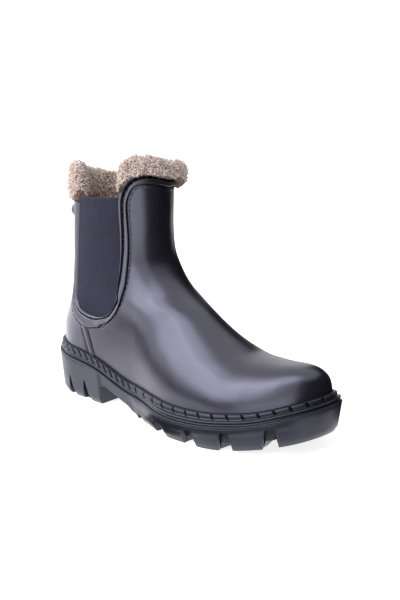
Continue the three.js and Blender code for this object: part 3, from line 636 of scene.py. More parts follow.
def stamped(name: str, template: bmesh.types.BMesh, origins: Array, axes: Array) -> bpy.types.Object:
    """Small shape set at many places.

    Args:
        name: Name of the piece.
        template: The shape in millimetres round its own origin.
        origins: Places in millimetres, n by three.
        axes: Each copy's x, y and z axis as rows, n by three by three, scaled as wanted.

    Returns:
        The object, in the scene.
    """
    shape = np.array([v.co for v in template.verts])
    mesh = repeated(template, len(origins))
    local = np.einsum("vk,nkc->nvc", shape, axes) + origins[:, None, :]
    places = ((local + np.array(SHIFT)) * METRE).reshape(-1)
    mesh.vertices.foreach_set("co", places.astype(np.float32))
    mesh.name = name
    return placed(name, mesh)


def ripple(points: Array, size: float, seed: int) -> Array:
    """Smooth noise from -1 to 1 made of waves in many directions.

    Args:
        points: Places in millimetres, with three numbers last.
        size: Rough distance between two swells.
        seed: Number that picks the waves.

    Returns:
        One value for each place.
    """
    rng = np.random.default_rng(SEED + seed)
    total = np.zeros(points.shape[:-1])
    for _ in range(14):
        direction = unit(rng.normal(size=3)) * 2 * np.pi / (size * rng.uniform(.7, 1.5))
        total += np.sin(points @ direction + rng.uniform(0, 2 * np.pi))
    return total / 5


def lumps(points: Array, seed: int, *parts: tuple[float, float]) -> Array:
    """Sum of ripples, each given by its strength and its size."""
    return sum(strength * ripple(points, size, seed + i) for i, (strength, size) in enumerate(parts))


def thicken(piece: bpy.types.Object, thickness: float) -> None:
    """Give a sheet its wall, inwards from its face."""
    wall = piece.modifiers.new("wall", "SOLIDIFY")
    wall.thickness = thickness * METRE
    wall.offset = -1.0
    wall.use_rim = True


@dataclass(frozen=True)
class Lean:
    """Pieces of the back between the boot and the strap, with two points of the strap's lean; here the pieces
    are only baked in place, without a bend.
    """

    start: tuple[float, float, float] = (-.107, 0.0, .085)
    end: tuple[float, float, float] = (-.14325, 0.0, .10621)

    def apply(self, piece: bpy.types.Object) -> None:
        """Bake a piece's transform into its mesh."""
        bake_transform(piece)


LEAN = Lean()


# Finishes

class Signal:
    """Output socket with the arithmetic of numbers."""

    def __init__(self, web: "Web", socket: bpy.types.NodeSocket) -> None:
        """Keep the material's web and the socket."""
        self.web, self.socket = web, socket

    def __add__(self, other: Operand) -> "Signal":
        """Sum."""
        return self.web.math("ADD", self, other)

    def __sub__(self, other: Operand) -> "Signal":
        """Difference."""
        return self.web.math("SUBTRACT", self, other)

    def __rsub__(self, other: Operand) -> "Signal":
        """Difference, reflected."""
        return self.web.math("SUBTRACT", other, self)

    def __mul__(self, other: Operand) -> "Signal":
        """Product."""
        return self.web.math("MULTIPLY", self, other)

    __radd__ = __add__
    __rmul__ = __mul__

    def band(self, low: float, high: float) -> "Signal":
        """Smooth step of this value, from 0 at low to 1 at high."""
        node = self.web.node("ShaderNodeMapRange", {"interpolation_type": "SMOOTHSTEP"},
                             {"Value": self, "From Min": low, "From Max": high})
        return Signal(self.web, node.outputs["Result"])


class Web:
    """Node tree of one material, or of the world."""

    def __init__(self, name: str, world: bool = False) -> None:
        """Start a material or a world whose tree is empty."""
        self.material = (bpy.data.worlds if world else bpy.data.materials).new(name)
        self.material.use_nodes = True
        self.tree = self.material.node_tree
        self.tree.nodes.clear()
        self.closing = "ShaderNodeOutputWorld" if world else "ShaderNodeOutputMaterial"

    def node(self, kind: str, settings: Optional[dict] = None,
             inputs: Optional[dict] = None) -> bpy.types.Node:
        """Any node.

        Args:
            kind: Type name of the node.
            settings: Its properties, and under stops the places and colours of a ramp.
            inputs: Values or links of its sockets, by name or number.

        Returns:
            The node.
        """
        made = self.tree.nodes.new(kind)
        for key, value in (settings or {}).items():
            if key == "stops":
                self.fill_ramp(made.color_ramp, value)
            else:
                setattr(made, key, value)
        for key, value in (inputs or {}).items():
            self.feed(made.inputs[key], value)
        return made

    @staticmethod
    def fill_ramp(ramp: bpy.types.ColorRamp, stops: Sequence[tuple[float, tuple]]) -> None:
        """Set the stops of a ramp."""
        while len(ramp.elements) < len(stops):
            ramp.elements.new(1.0)
        for element, (place, colour) in zip(ramp.elements, stops):
            element.position = place
            element.color = (*colour, 1.0)

    def feed(self, socket: bpy.types.NodeSocket, value: object) -> None:
        """Link a socket, or set its value."""
        if isinstance(value, Signal):
            self.tree.links.new(value.socket, socket)
        elif isinstance(value, bpy.types.NodeSocket):
            self.tree.links.new(value, socket)
        elif isinstance(value, tuple) and socket.type == "RGBA":
            socket.default_value = (*value, 1.0)
        else:
            socket.default_value = value

    def math(self, operation: str, *values: Operand) -> Signal:
        """Math node over values."""
        made = self.node("ShaderNodeMath", {"operation": operation}, dict(enumerate(values)))
        return Signal(self, made.outputs[0])

    def coordinates(self, output: str = "Object") -> bpy.types.NodeSocket:
        """Object coordinates, or the piece's own UV map."""
        return self.node("ShaderNodeTexCoord").outputs[output]

    def noise(self, scale: float, detail: float = 2.0, rough: float = .5,
              vector: Optional[bpy.types.NodeSocket] = None) -> Signal:
        """Noise whose scale counts swells in a metre."""
        made = self.node("ShaderNodeTexNoise", {}, {
            "Vector": vector or self.coordinates(), "Scale": scale, "Detail": detail, "Roughness": rough})
        return Signal(self, made.outputs["Fac"])

    def axes(self, vector: bpy.types.NodeSocket) -> tuple[Signal, Signal, Signal]:
        """The three parts of a vector."""
        made = self.node("ShaderNodeSeparateXYZ", {}, {"Vector": vector})
        return tuple(Signal(self, made.outputs[i]) for i in range(3))

    def colour(self, factor: Operand, low: tuple, high: tuple) -> bpy.types.NodeSocket:
        """Colour between two, by a factor."""
        made = self.node("ShaderNodeMix", {"data_type": "RGBA"})
        self.feed(made.inputs[0], factor)
        for index, tone in ((6, low), (7, high)):
            self.feed(made.inputs[index], tone)
        return made.outputs[2]

    def bump(self, height: Operand, distance: float, strength: float) -> bpy.types.NodeSocket:
        """Bump of a height whose full range is a distance in millimetres."""
        return self.node("ShaderNodeBump", {}, {
            "Height": height, "Distance": distance * METRE, "Strength": strength}).outputs["Normal"]

    def close(self, kind: str, inputs: dict) -> bpy.types.ID:
        """End the tree with a shader, and give its material or world."""
        shader = self.node(kind, {}, inputs)
        self.node(self.closing, {}, {"Surface": shader.outputs[0]})
        return self.material


@dataclass(frozen=True)
class Rubber:
    """Moulded rubber with a satin skin."""

    name: str
    dark: tuple[float, float, float]
    light: tuple[float, float, float]
    roughness: float
    coat: float
    grain: float
    specular: float = 1.0
    coat_roughness: float = .3
    tint: tuple[float, float, float] = (.74, .72, 1.0)

    def build(self) -> bpy.types.Material:
        """Material with a faint mottle, a fine grain and a film that wears duller in patches."""
        web = Web(self.name)
        cloud = web.noise(22.0, 3.0, .55)
        patch = web.noise(75.0, 4.0, .6)
        fine = web.noise(1100.0, 2.0, .6)
        swell = web.noise(170.0, 2.0, .5)
        tone = cloud.band(.3, .7) * .65 + patch.band(.35, .7) * .35
        rough = self.roughness + (patch - .5) * .14 + (fine - .5) * .06
        height = fine * self.grain + swell * (self.grain * 1.1)
        return web.close("ShaderNodeBsdfPrincipled", {
            "Base Color": web.colour(tone, self.dark, self.light),
            "Roughness": rough,
            "Coat Weight": self.coat * (1.0 - patch.band(.45, .8) * .3),
            "Coat Roughness": self.coat_roughness,
            "Specular IOR Level": self.specular,
            "Specular Tint": self.tint,
            "Normal": web.bump(height, .12, .55),
        })


@dataclass(frozen=True)
class Weave:
    """Elastic webbing: upright ribs crossed by fine weft threads."""

    name: str
    dark: tuple[float, float, float]
    light: tuple[float, float, float]
    rib: float = 1.1
    thread: float = .62

    def build(self) -> bpy.types.Material:
        """Material that follows the piece's own UV map."""
        web = Web(self.name)
        across, along, _ = web.axes(web.coordinates("UV"))
        rib = web.math("SINE", across * (2 * math.pi / (self.rib * METRE))) * .5 + .5
        weft = web.math("SINE", along * (2 * math.pi / (self.thread * METRE))
                        + web.math("SINE", across * (2 * math.pi / (2 * self.rib * METRE))) * 1.2) * .5 + .5
        fuzz = web.noise(1150.0, 3.0, .7)
        cloud = web.noise(60.0, 3.0, .55)
        tone = rib * .2 + weft * .2 + (fuzz * .5 + .25).band(.4, .6) * .45 + cloud * .15
        return web.close("ShaderNodeBsdfPrincipled", {
            "Base Color": web.colour(tone.band(.2, .85), self.dark, self.light),
            "Roughness": .78 + (fuzz - .5) * .2,
            "Specular IOR Level": .22,
            "Sheen Weight": .05,
            "Sheen Roughness": .5,
            "Sheen Tint": (.75, .75, .95),
            "Normal": web.bump(rib * .3 + weft * .35 + fuzz * .35, .22, .8),
        })


@dataclass(frozen=True)
class Pile:
    """Fleece pile of curled tufts."""

    name: str
    shadow: tuple[float, float, float]
    middle: tuple[float, float, float]
    light: tuple[float, float, float]
    bump: float = 1.0
    root_shade: bool = False

    def build(self) -> bpy.types.Material:
        """Material of warm tufts whose colour, by noise, is partly the wool's own tone, partly painted shade
        in brown hollows and painted highlight on the tufts, and whose locks, with root shade, are painted
        darker at the root and paler to the tip.
        """
        web = Web(self.name)
        clump = web.noise(260.0, 4.0, .62)
        strand = web.noise(1500.0, 3.0, .7)
        cloud = web.noise(48.0, 3.0, .55)
        tone = clump * .5 + strand * .22 + cloud * .28
        # Painted shade: each lock darker at its root and paler towards its tip.
        if self.root_shade:
            _, along, _ = web.axes(web.coordinates("UV"))
            tone = tone + along * .38 - .24
        ramp = web.node("ShaderNodeValToRGB", {"stops": (
            (.3, self.shadow), (.5, self.middle), (.68, self.light))}, {"Fac": tone})
        return web.close("ShaderNodeBsdfPrincipled", {
            "Base Color": ramp.outputs["Color"],
            "Roughness": .92 + (strand - .5) * .1,
            "Specular IOR Level": .2,
            "Sheen Weight": .3,
            "Sheen Roughness": .6,
            "Sheen Tint": (1.0, .93, .87),
            "Normal": web.bump(clump * .7 + strand * .5, 1.1 * self.bump, .9),
        })


@dataclass(frozen=True)
class Fibre:
    """Pressed fibreboard or foam."""

    name: str
    dark: tuple[float, float, float]
    light: tuple[float, float, float]
    scale: float
    stretch: float = 1.0

    def build(self) -> bpy.types.Material:
        """Material of short fibres or fine pores."""
        web = Web(self.name)
        place = web.node("ShaderNodeMapping", {}, {
            "Vector": web.coordinates(), "Scale": Vector((1.0, self.stretch, 1.0))}).outputs["Vector"]
        fibre = web.noise(self.scale, 5.0, .68, place)
        cloud = web.noise(40.0, 2.0)
        return web.close("ShaderNodeBsdfPrincipled", {
            "Base Color": web.colour((fibre * .7 + cloud * .3).band(.3, .7), self.dark, self.light),
            "Roughness": .86 + (fibre - .5) * .16,
            "Specular IOR Level": .3,
            "Normal": web.bump(fibre, .3, .7),
        })


@dataclass
class Finishes:
    """All finishes of the boot, built once."""

    upper: bpy.types.Material = field(init=False)
    trim: bpy.types.Material = field(init=False)
    sole: bpy.types.Material = field(init=False)
    stitch: bpy.types.Material = field(init=False)
    elastic: bpy.types.Material = field(init=False)
    fleece: bpy.types.Material = field(init=False)
    root: bpy.types.Material = field(init=False)
    strand: bpy.types.Material = field(init=False)
    board: bpy.types.Material = field(init=False)
    foam: bpy.types.Material = field(init=False)

    def __post_init__(self) -> None:
        """Build every material."""
        self.upper = Rubber("satin_rubber", (.008, .0078, .012), (.013, .0125, .019),
                            roughness=.31, coat=.6, grain=.5).build()
        self.trim = Rubber("trim_rubber", (.009, .0088, .014), (.015, .0145, .021),
                           roughness=.38, coat=.7, grain=.6).build()
        self.sole = Rubber("sole_rubber", (.008, .0085, .0125), (.016, .0165, .024),
                           roughness=.44, coat=.3, grain=.9, specular=.5).build()
        # Near-black matt rubber of the moulded stitches, darker than the rubber round them: painted shade of
        # the grooves they sit in. It also paints the shade in the rib's slits and in the groove over the rib.
        self.stitch = Rubber("stitch_and_painted_shade", (.002, .002, .003), (.005, .005, .007),
                             roughness=.6, coat=.0, grain=.5, specular=.25).build()
        self.elastic = Weave("elastic_webbing", (.008, .008, .016), (.034, .034, .061)).build()
        self.fleece = Pile("fleece_base", (.22, .135, .1), (.44, .32, .26), (.68, .55, .48)).build()
        # Darker copy of the fleece for the rolls' bodies under the locks: painted shade between the tufts.
        self.root = Pile("fleece_root_shade", (.13, .075, .055), (.27, .175, .135), (.42, .3, .245)).build()
        self.strand = Pile("fleece_locks", (.42, .29, .235), (.82, .68, .605), (1.0, .92, .85),
                           bump=.2, root_shade=True).build()
        self.board = Fibre("fibreboard", (.16, .1, .06), (.34, .24, .16), scale=900.0, stretch=3.0).build()
        self.foam = Fibre("foam", (.02, .02, .024), (.05, .05, .058), scale=1600.0).build()


def dress(piece: bpy.types.Object, material: bpy.types.Material) -> bpy.types.Object:
    """Give a piece its finish, and log its faces and finish."""
    piece.data.materials.clear()
    piece.data.materials.append(material)
    log.info("%s: %d faces, %s", piece.name, len(piece.data.polygons), material.name)
    return piece


# The upper

@dataclass
class Upper:
    """Vamp, heel and strap: the boot's rubber skin, with the raised strips on its side seams."""

    finishes: Finishes
    wall: float = 2.2
    foot: float = .4
    row_step: float = 2.3
    # Step of the finer rows, their start and end over the border's lowest place, and the gap to the others
    fine_step: float = .45
    fine_run: tuple[float, float] = (-.8, 6.0)
    fine_gap: float = .3
    girth: float = 500.0
    heel_girth: float = 400.0
    columns: int = 240
    heel_columns: int = 72
    tuck: float = 1.15
    collar_start: float = 110.0
    collar_reach: float = 30.0
    seam_top: float = 32.4
    seam_gap: float = 5.0
    strap_base: float = 60.0
    strip_side: Pairs = (
        (6.2, -.1), (5.6, .06), (5.0, .12), (4.7, -.1), (4.45, -1.0), (4.0, -1.5), (3.65, -1.0), (3.35, 0),
        (2.9, .45), (2.0, .7), (1.0, .78), (0, .8))
    strip_back: Pairs = ((6.2, -.9), (4.9, -1.9), (-4.9, -1.9), (-6.2, -.9), (-6.2, -.1))
    strip_run: tuple[float, float, float] = (6.0, 33.5, .45)
    ridge: tuple[float, float] = (.1, 1.9)
    stud_height: float = 136.0
    stud_outline: Pairs = (
        (0, -1.0), (5.9, -1.0), (6.0, .3), (5.8, .9), (5.3, 1.15), (4.8, .9), (4.45, 1.0), (4.3, 1.7),
        (3.7, 2.6), (2.6, 3.2), (1.3, 3.5), (0, 3.6))

    def rows(self, start: float, end: float, turns: Sequence[float]) -> Array:
        """Heights that lie about one row's step apart on the skin.

        Args:
            start: Lowest height.
            end: Highest height.
            turns: Shares round along which the steps are measured.

        Returns:
            The heights.
        """
        fine = np.linspace(start, end, 1500)
        runs = [np.linalg.norm(np.diff(FORM.skin(turn, fine), axis=0), axis=1) for turn in turns]
        length = np.concatenate([[0], np.cumsum(np.max(runs, axis=0))])
        count = int(length[-1] / self.row_step)
        return np.interp(np.linspace(0, length[-1], count), length, fine)

    def bent(self, heights: Array, top: float, collar: Array) -> Array:
        """Heights in rows that are level at the foot and follow a collar's heights at the top."""
        reach = (self.collar_start, top + self.collar_reach)
        share = ease(heights, *reach)[:, None] / ease(top, *reach)
        return heights[:, None] + share * (collar - top)

    def front_edge(self, height: Array) -> Array:
        """Share round of the vamp's edge: beside the seam's strip, then under the border's flange."""
        run = TRIM.side(self.tuck)[1]
        border = np.interp(height, run[:, 1], run[:, 0])
        seam = FORM.turn_at(seam_x(height) + self.seam_gap, height)
        return np.where(height < run[0, 1], seam, border)

    def heel_edge(self, height: Array) -> Array:
        """Share round of the heel's edge: beside the seam's strip, then under the border's flange."""
        run = TRIM.side(self.tuck)[0]
        border = np.interp(height, run[:, 1], run[:, 0])
        seam = FORM.turn_at(seam_x(height) - self.seam_gap, height)
        closer = np.where(height < self.strap_base, np.minimum(seam, border), border)
        return np.where(height < self.seam_top, seam, closer)

    def vamp(self) -> None:
        """Foot and front of the shaft up to the collar's band, in one skin."""
        corner = TRIM.lines()[2]
        rim = TRIM.at(self.tuck)[corner:-corner]
        low_top = float(rim[0, 1])
        heights = self.rows(self.foot, low_top, (.5, .42, .35))
        start, end = TRIM.at(self.tuck)[:, 1].min() + np.array(self.fine_run)
        near = np.arange(start, end, self.fine_step)
        coarse = (heights < near[0] - self.fine_gap) | (heights > near[-1] + self.fine_gap)
        heights = np.sort(np.append(heights[coarse], near))
        edge = self.front_edge(heights)[:, None]
        across = np.linspace(0, 1, self.columns)[None, :]
        turn = edge + (1 - 2 * edge) * across
        collar = np.interp(turn, rim[:, 0], rim[:, 1])
        height = self.bent(heights, low_top, collar)
        points = FORM.skin(turn, height)
        flow = np.stack([across * self.girth + 0 * height, height], -1)
        piece = link("vamp_skin", sheet_mesh(points, flow, FORM.normal(turn, height)))
        thicken(piece, self.wall)
        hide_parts("vamp")
        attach(dress(piece, self.finishes.upper), Body.BOOT.value)

    def heel(self) -> None:
        """Heel counter and back strap in one skin."""
        heights = self.rows(self.foot, STRAP_TOP, (.0, .08))
        edge = self.heel_edge(heights)[:, None]
        turn = edge * np.linspace(-1, 1, self.heel_columns)[None, :]
        height = heights[:, None] + 0 * turn
        points = FORM.skin(turn, height)
        flow = np.stack([turn * self.heel_girth, height], -1)
        piece = link("heel_skin", sheet_mesh(points, flow, FORM.normal(turn, height)))
        thicken(piece, self.wall)
        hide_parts("heel_counter", "back_strap")
        LEAN.apply(dress(piece, self.finishes.upper))

    def seam_strip(self, inner: bool) -> None:
        """Raised strip over a side seam between two grooves, with faint slanting ridges."""
        heights = np.arange(*self.strip_run)[:, None]
        left = [(-x, z) for x, z in self.strip_side[:-1]]
        across, out = np.array([*left, *self.strip_side[::-1], *self.strip_back]).T
        turn = FORM.turn_at(seam_x(heights) + across, heights)
        swell, pitch = self.ridge
        ridges = swell * np.sin(2 * np.pi * (across + heights) / pitch) * (out > .4)
        points = FORM.lifted(1 - turn if inner else turn, heights, out + ridges)
        side = "inner" if inner else "outer"
        piece = link(f"seam_strip_{side}", sheet_mesh(points, closed=True), 50)
        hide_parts(f"side_seam_strip_{side}")
        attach(dress(piece, self.finishes.trim), Body.BOOT.value)

    def stud(self) -> None:
        """Domed stud at the top of the strap, with a rim and a groove round its crown."""
        low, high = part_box("rear_stud")
        centre = np.array((low + high) / 2) / METRE - np.array(SHIFT)
        turns = np.linspace(0, .15, 600)
        height = self.stud_height
        near = turns[np.argmin(np.linalg.norm(FORM.skin(turns, height) - centre, axis=1))]
        bm = bmesh.new()
        verts = [bm.verts.new((r, 0, z)) for r, z in self.stud_outline]
        edges = [bm.edges.new(pair) for pair in zip(verts, verts[1:])]
        bmesh.ops.spin(bm, geom=verts + edges, cent=(0, 0, 0), axis=(0, 0, 1), dvec=(0, 0, 0),
                       angle=2 * math.pi, steps=40, use_merge=True, use_duplicate=False)
        bmesh.ops.remove_doubles(bm, verts=bm.verts[:], dist=1e-4)
        up = FORM.normal(np.array(near), np.array(height))
        side = unit(np.cross(up, np.array([0, 0, 1.0])))
        base = FORM.lifted(near, height, .3)
        for vert in bm.verts:
            place = base + vert.co.x * side + vert.co.y * np.cross(up, side) + vert.co.z * up
            vert.co = (Vector(place) + SHIFT) * METRE
        bmesh.ops.recalc_face_normals(bm, faces=bm.faces[:])
        piece = link("strap_stud", bm)
        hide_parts("rear_stud")
        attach(dress(piece, self.finishes.trim), Body.STRAP.value)

    def build(self) -> None:
        """All pieces of the upper."""
        self.vamp()
        self.heel()
        for inner in (False, True):
            self.seam_strip(inner)
        self.stud()


@dataclass
class EdgeTrim:
    """Moulded border that runs from one strap top round both gussets and the collar to the other."""

    finishes: Finishes
    width: float = 8.8
    middle: tuple[float, float] = (.45, .4)
    stitch_pitch: float = 3.0
    fine_pitch: float = 2.6
    groove: tuple[float, float] = (.35, .05)
    groove_wave: float = .16
    section: Pairs = (
        (-.14, -1.3), (-.12, -.6), (-.07, .15), (0, .85), (.05, 1.2), (.1, 1.3), (.16, 1.15), (.2, .75),
        (.235, .0), (.27, -.7), (.32, -1.0), (.38, -1.0), (.42, -.7), (.445, .0), (.48, .5), (.53, .85),
        (.62, 1.15), (.72, 1.45), (.8, 1.6), (.86, 1.4), (.9, .5), (.93, -.9), (.96, -1.4), (1.0, -1.4),
        (1.03, -.7), (1.06, .1), (1.11, .33), (1.2, .3), (1.3, .15), (1.45, -.1), (1.45, -.3), (1.12, -.7),
        (1.08, -1.9), (-.1, -1.9), (-.14, -1.3))

    def at(self, across: Array, lift: Array) -> Array:
        """Points of the strip.

        Args:
            across: Shares of the way over the border where it is narrowest, for each point of the section.
                Where it is wider only its middle band widens.
            lift: Lifts over the skin, the same at every station or one row for each.

        Returns:
            Points, stations by points by three.
        """
        inner, outer = TRIM.lines()[:2]
        width = np.linalg.norm(FORM.skin(*outer.T) - FORM.skin(*inner.T), axis=1)[:, None]
        scale = self.width / width
        start, reach = self.middle
        middle = np.clip((across - start) / reach, 0, 1)
        across = mix(across * scale, 1 - (1 - across) * scale, middle)
        place = inner[:, None, :] + (outer - inner)[:, None, :] * across[..., None]
        return FORM.lifted(place[..., 0], place[..., 1], lift)

    def strip(self) -> None:
        """The moulded border itself."""
        across, lift = np.array(self.section).T
        place, reach = self.groove
        groove = np.exp(-((across - place) / reach) ** 2)
        wave = np.sin(2 * np.pi * np.arange(len(TRIM.lines()[0])) * TRIM.step / self.stitch_pitch)
        lift = lift + self.groove_wave * wave[:, None] * groove
        piece = link("edge_trim", sheet_mesh(self.at(across, lift), closed=True), 60)
        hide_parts("gusset_trim_outer", "gusset_trim_inner", "strap_trim_outer", "strap_trim_inner",
                    "collar_band")
        LEAN.apply(dress(piece, self.finishes.trim))

    def stitches(self, name: str, across: float, lift: float, pitch: float, length: float,
                 thick: float) -> None:
        """Row of moulded stitches along the strip, near-black and matt: their own colour with painted shade
        of the groove.

        Args:
            name: Name of the piece.
            across: Share of the way from the opening to the border.
            lift: Lift of the stitches' middles over the skin.
            pitch: Distance from stitch to stitch.
            length: Length of a stitch.
            thick: Its thickness.
        """
        line, above = (self.at(np.array([across]), np.array([out]))[:, 0] for out in (lift, lift + 1))
        run = lengths(line)
        marks = np.arange(pitch, run[-1] - pitch / 2, pitch)
        origin = along(line, run, marks)
        up = unit(along(above, run, marks) - origin)
        ahead = unit(along(line, run, marks + .8) - origin)
        axes = np.stack([ahead, np.cross(up, ahead), up], 1)
        bm = bmesh.new()
        bmesh.ops.create_uvsphere(bm, u_segments=8, v_segments=6, radius=thick / 2)
        for vert in bm.verts:
            vert.co.x += math.copysign((length - thick) / 2, vert.co.x) if abs(vert.co.x) > 1e-6 else 0.0
        piece = stamped(name, bm, origin, axes)
        # Near-black matt finish: the stitches' colour darkened with painted shade.
        LEAN.apply(dress(piece, self.finishes.stitch))

    def build(self) -> None:
        """The border and its two rows of stitches."""
        self.strip()
        self.stitches("trim_stitches", across=.35, lift=.3, pitch=self.stitch_pitch, length=2.2, thick=1.35)
        self.stitches("vamp_stitches", across=1.2, lift=.3, pitch=self.fine_pitch, length=1.75, thick=.75)


@dataclass
class Gusset:
    """Elastic panel of one side, with its fleece behind it."""

    finishes: Finishes
    inner: bool
    rib: float = 1.1
    rib_lift: float = .07
    rear_drop: float = 5.4
    thickness: float = 1.5
    sink: float = .75
    hollow: float = .5
    hem: float = .45
    tuck: float = 1.6
    lining_drop: float = 1.8
    lining_tuck: float = 3.0
    lining_sink: float = 5.4
    lining_wall: float = 1.8

    @property
    def side(self) -> str:
        """Name of the side."""
        return "inner" if self.inner else "outer"

    def panel(self, top: float, columns: int, rows: int, tuck: float) -> tuple[Array, ...]:
        """Grid over the opening.

        Args:
            top: Height of its upper edge in front, from which it slopes down to the rear.
            columns: Columns of points.
            rows: Rows of points.
            tuck: How far it reaches under the trim.

        Returns:
            Shares round, heights, distances below the upper edge, and lengths along the surface.
        """
        rise = np.linspace(0, 1, rows) ** 1.5
        heights = OPENING.floor - tuck + (top - OPENING.floor + tuck) * rise
        inside = np.maximum(heights, OPENING.floor + .15)
        rear, front = OPENING.x_at(inside, rear=True) - tuck, OPENING.x_at(inside) + tuck
        across = np.linspace(0, 1, columns)[None, :]
        x = rear[:, None] + (front - rear)[:, None] * across
        edge = top - self.rear_drop * (1 - across)
        height = OPENING.floor - tuck + (edge - OPENING.floor + tuck) * rise[:, None]
        turn = FORM.turn_at(x, height)
        return 1 - turn if self.inner else turn, height, edge - height, np.stack([x, height], -1)

    def elastic(self) -> None:
        """Ribbed webbing, a little hollow between its edges, with a folded hem at the top."""
        turn, height, below, flow = self.panel(GUSSET_TOP, columns=230, rows=90, tuck=self.tuck)
        hem = ease(below, 3.4, 2.6)
        ribs = self.rib_lift * np.sin(2 * np.pi * flow[..., 0] / self.rib) * (1 - hem)
        middle = np.sin(np.pi * np.linspace(0, 1, height.shape[1]))[None, :] * ease(height, 50, 120)
        lift = ribs - self.sink + hem * self.hem - self.hollow * middle
        points = FORM.lifted(turn, height, lift)
        piece = link(f"elastic_{self.side}", sheet_mesh(points, flow, FORM.normal(turn, height)))
        thicken(piece, self.thickness)
        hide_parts(f"elastic_gusset_{self.side}")
        LEAN.apply(dress(piece, self.finishes.elastic))

    def lining(self) -> None:
        """Fleece behind the elastic."""
        turn, height, below, flow = self.panel(
            GUSSET_TOP - self.lining_drop, columns=46, rows=60, tuck=self.lining_tuck)
        face = FORM.lifted(turn, height, -self.lining_sink)
        lift = -self.lining_sink - lumps(face, 3, (1.2, 5.0), (.6, 2.2))
        points = FORM.lifted(turn, height, lift + 1.6 * ease(below, 3.8, 0))
        piece = link(f"gusset_fleece_{self.side}", sheet_mesh(points, flow, -FORM.normal(turn, height)))
        thicken(piece, self.lining_wall)
        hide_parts(f"gusset_lining_{self.side}")
        LEAN.apply(dress(piece, self.finishes.fleece))

    def build(self) -> None:
        """The panel and its fleece."""
        self.elastic()
        self.lining()


# The lining

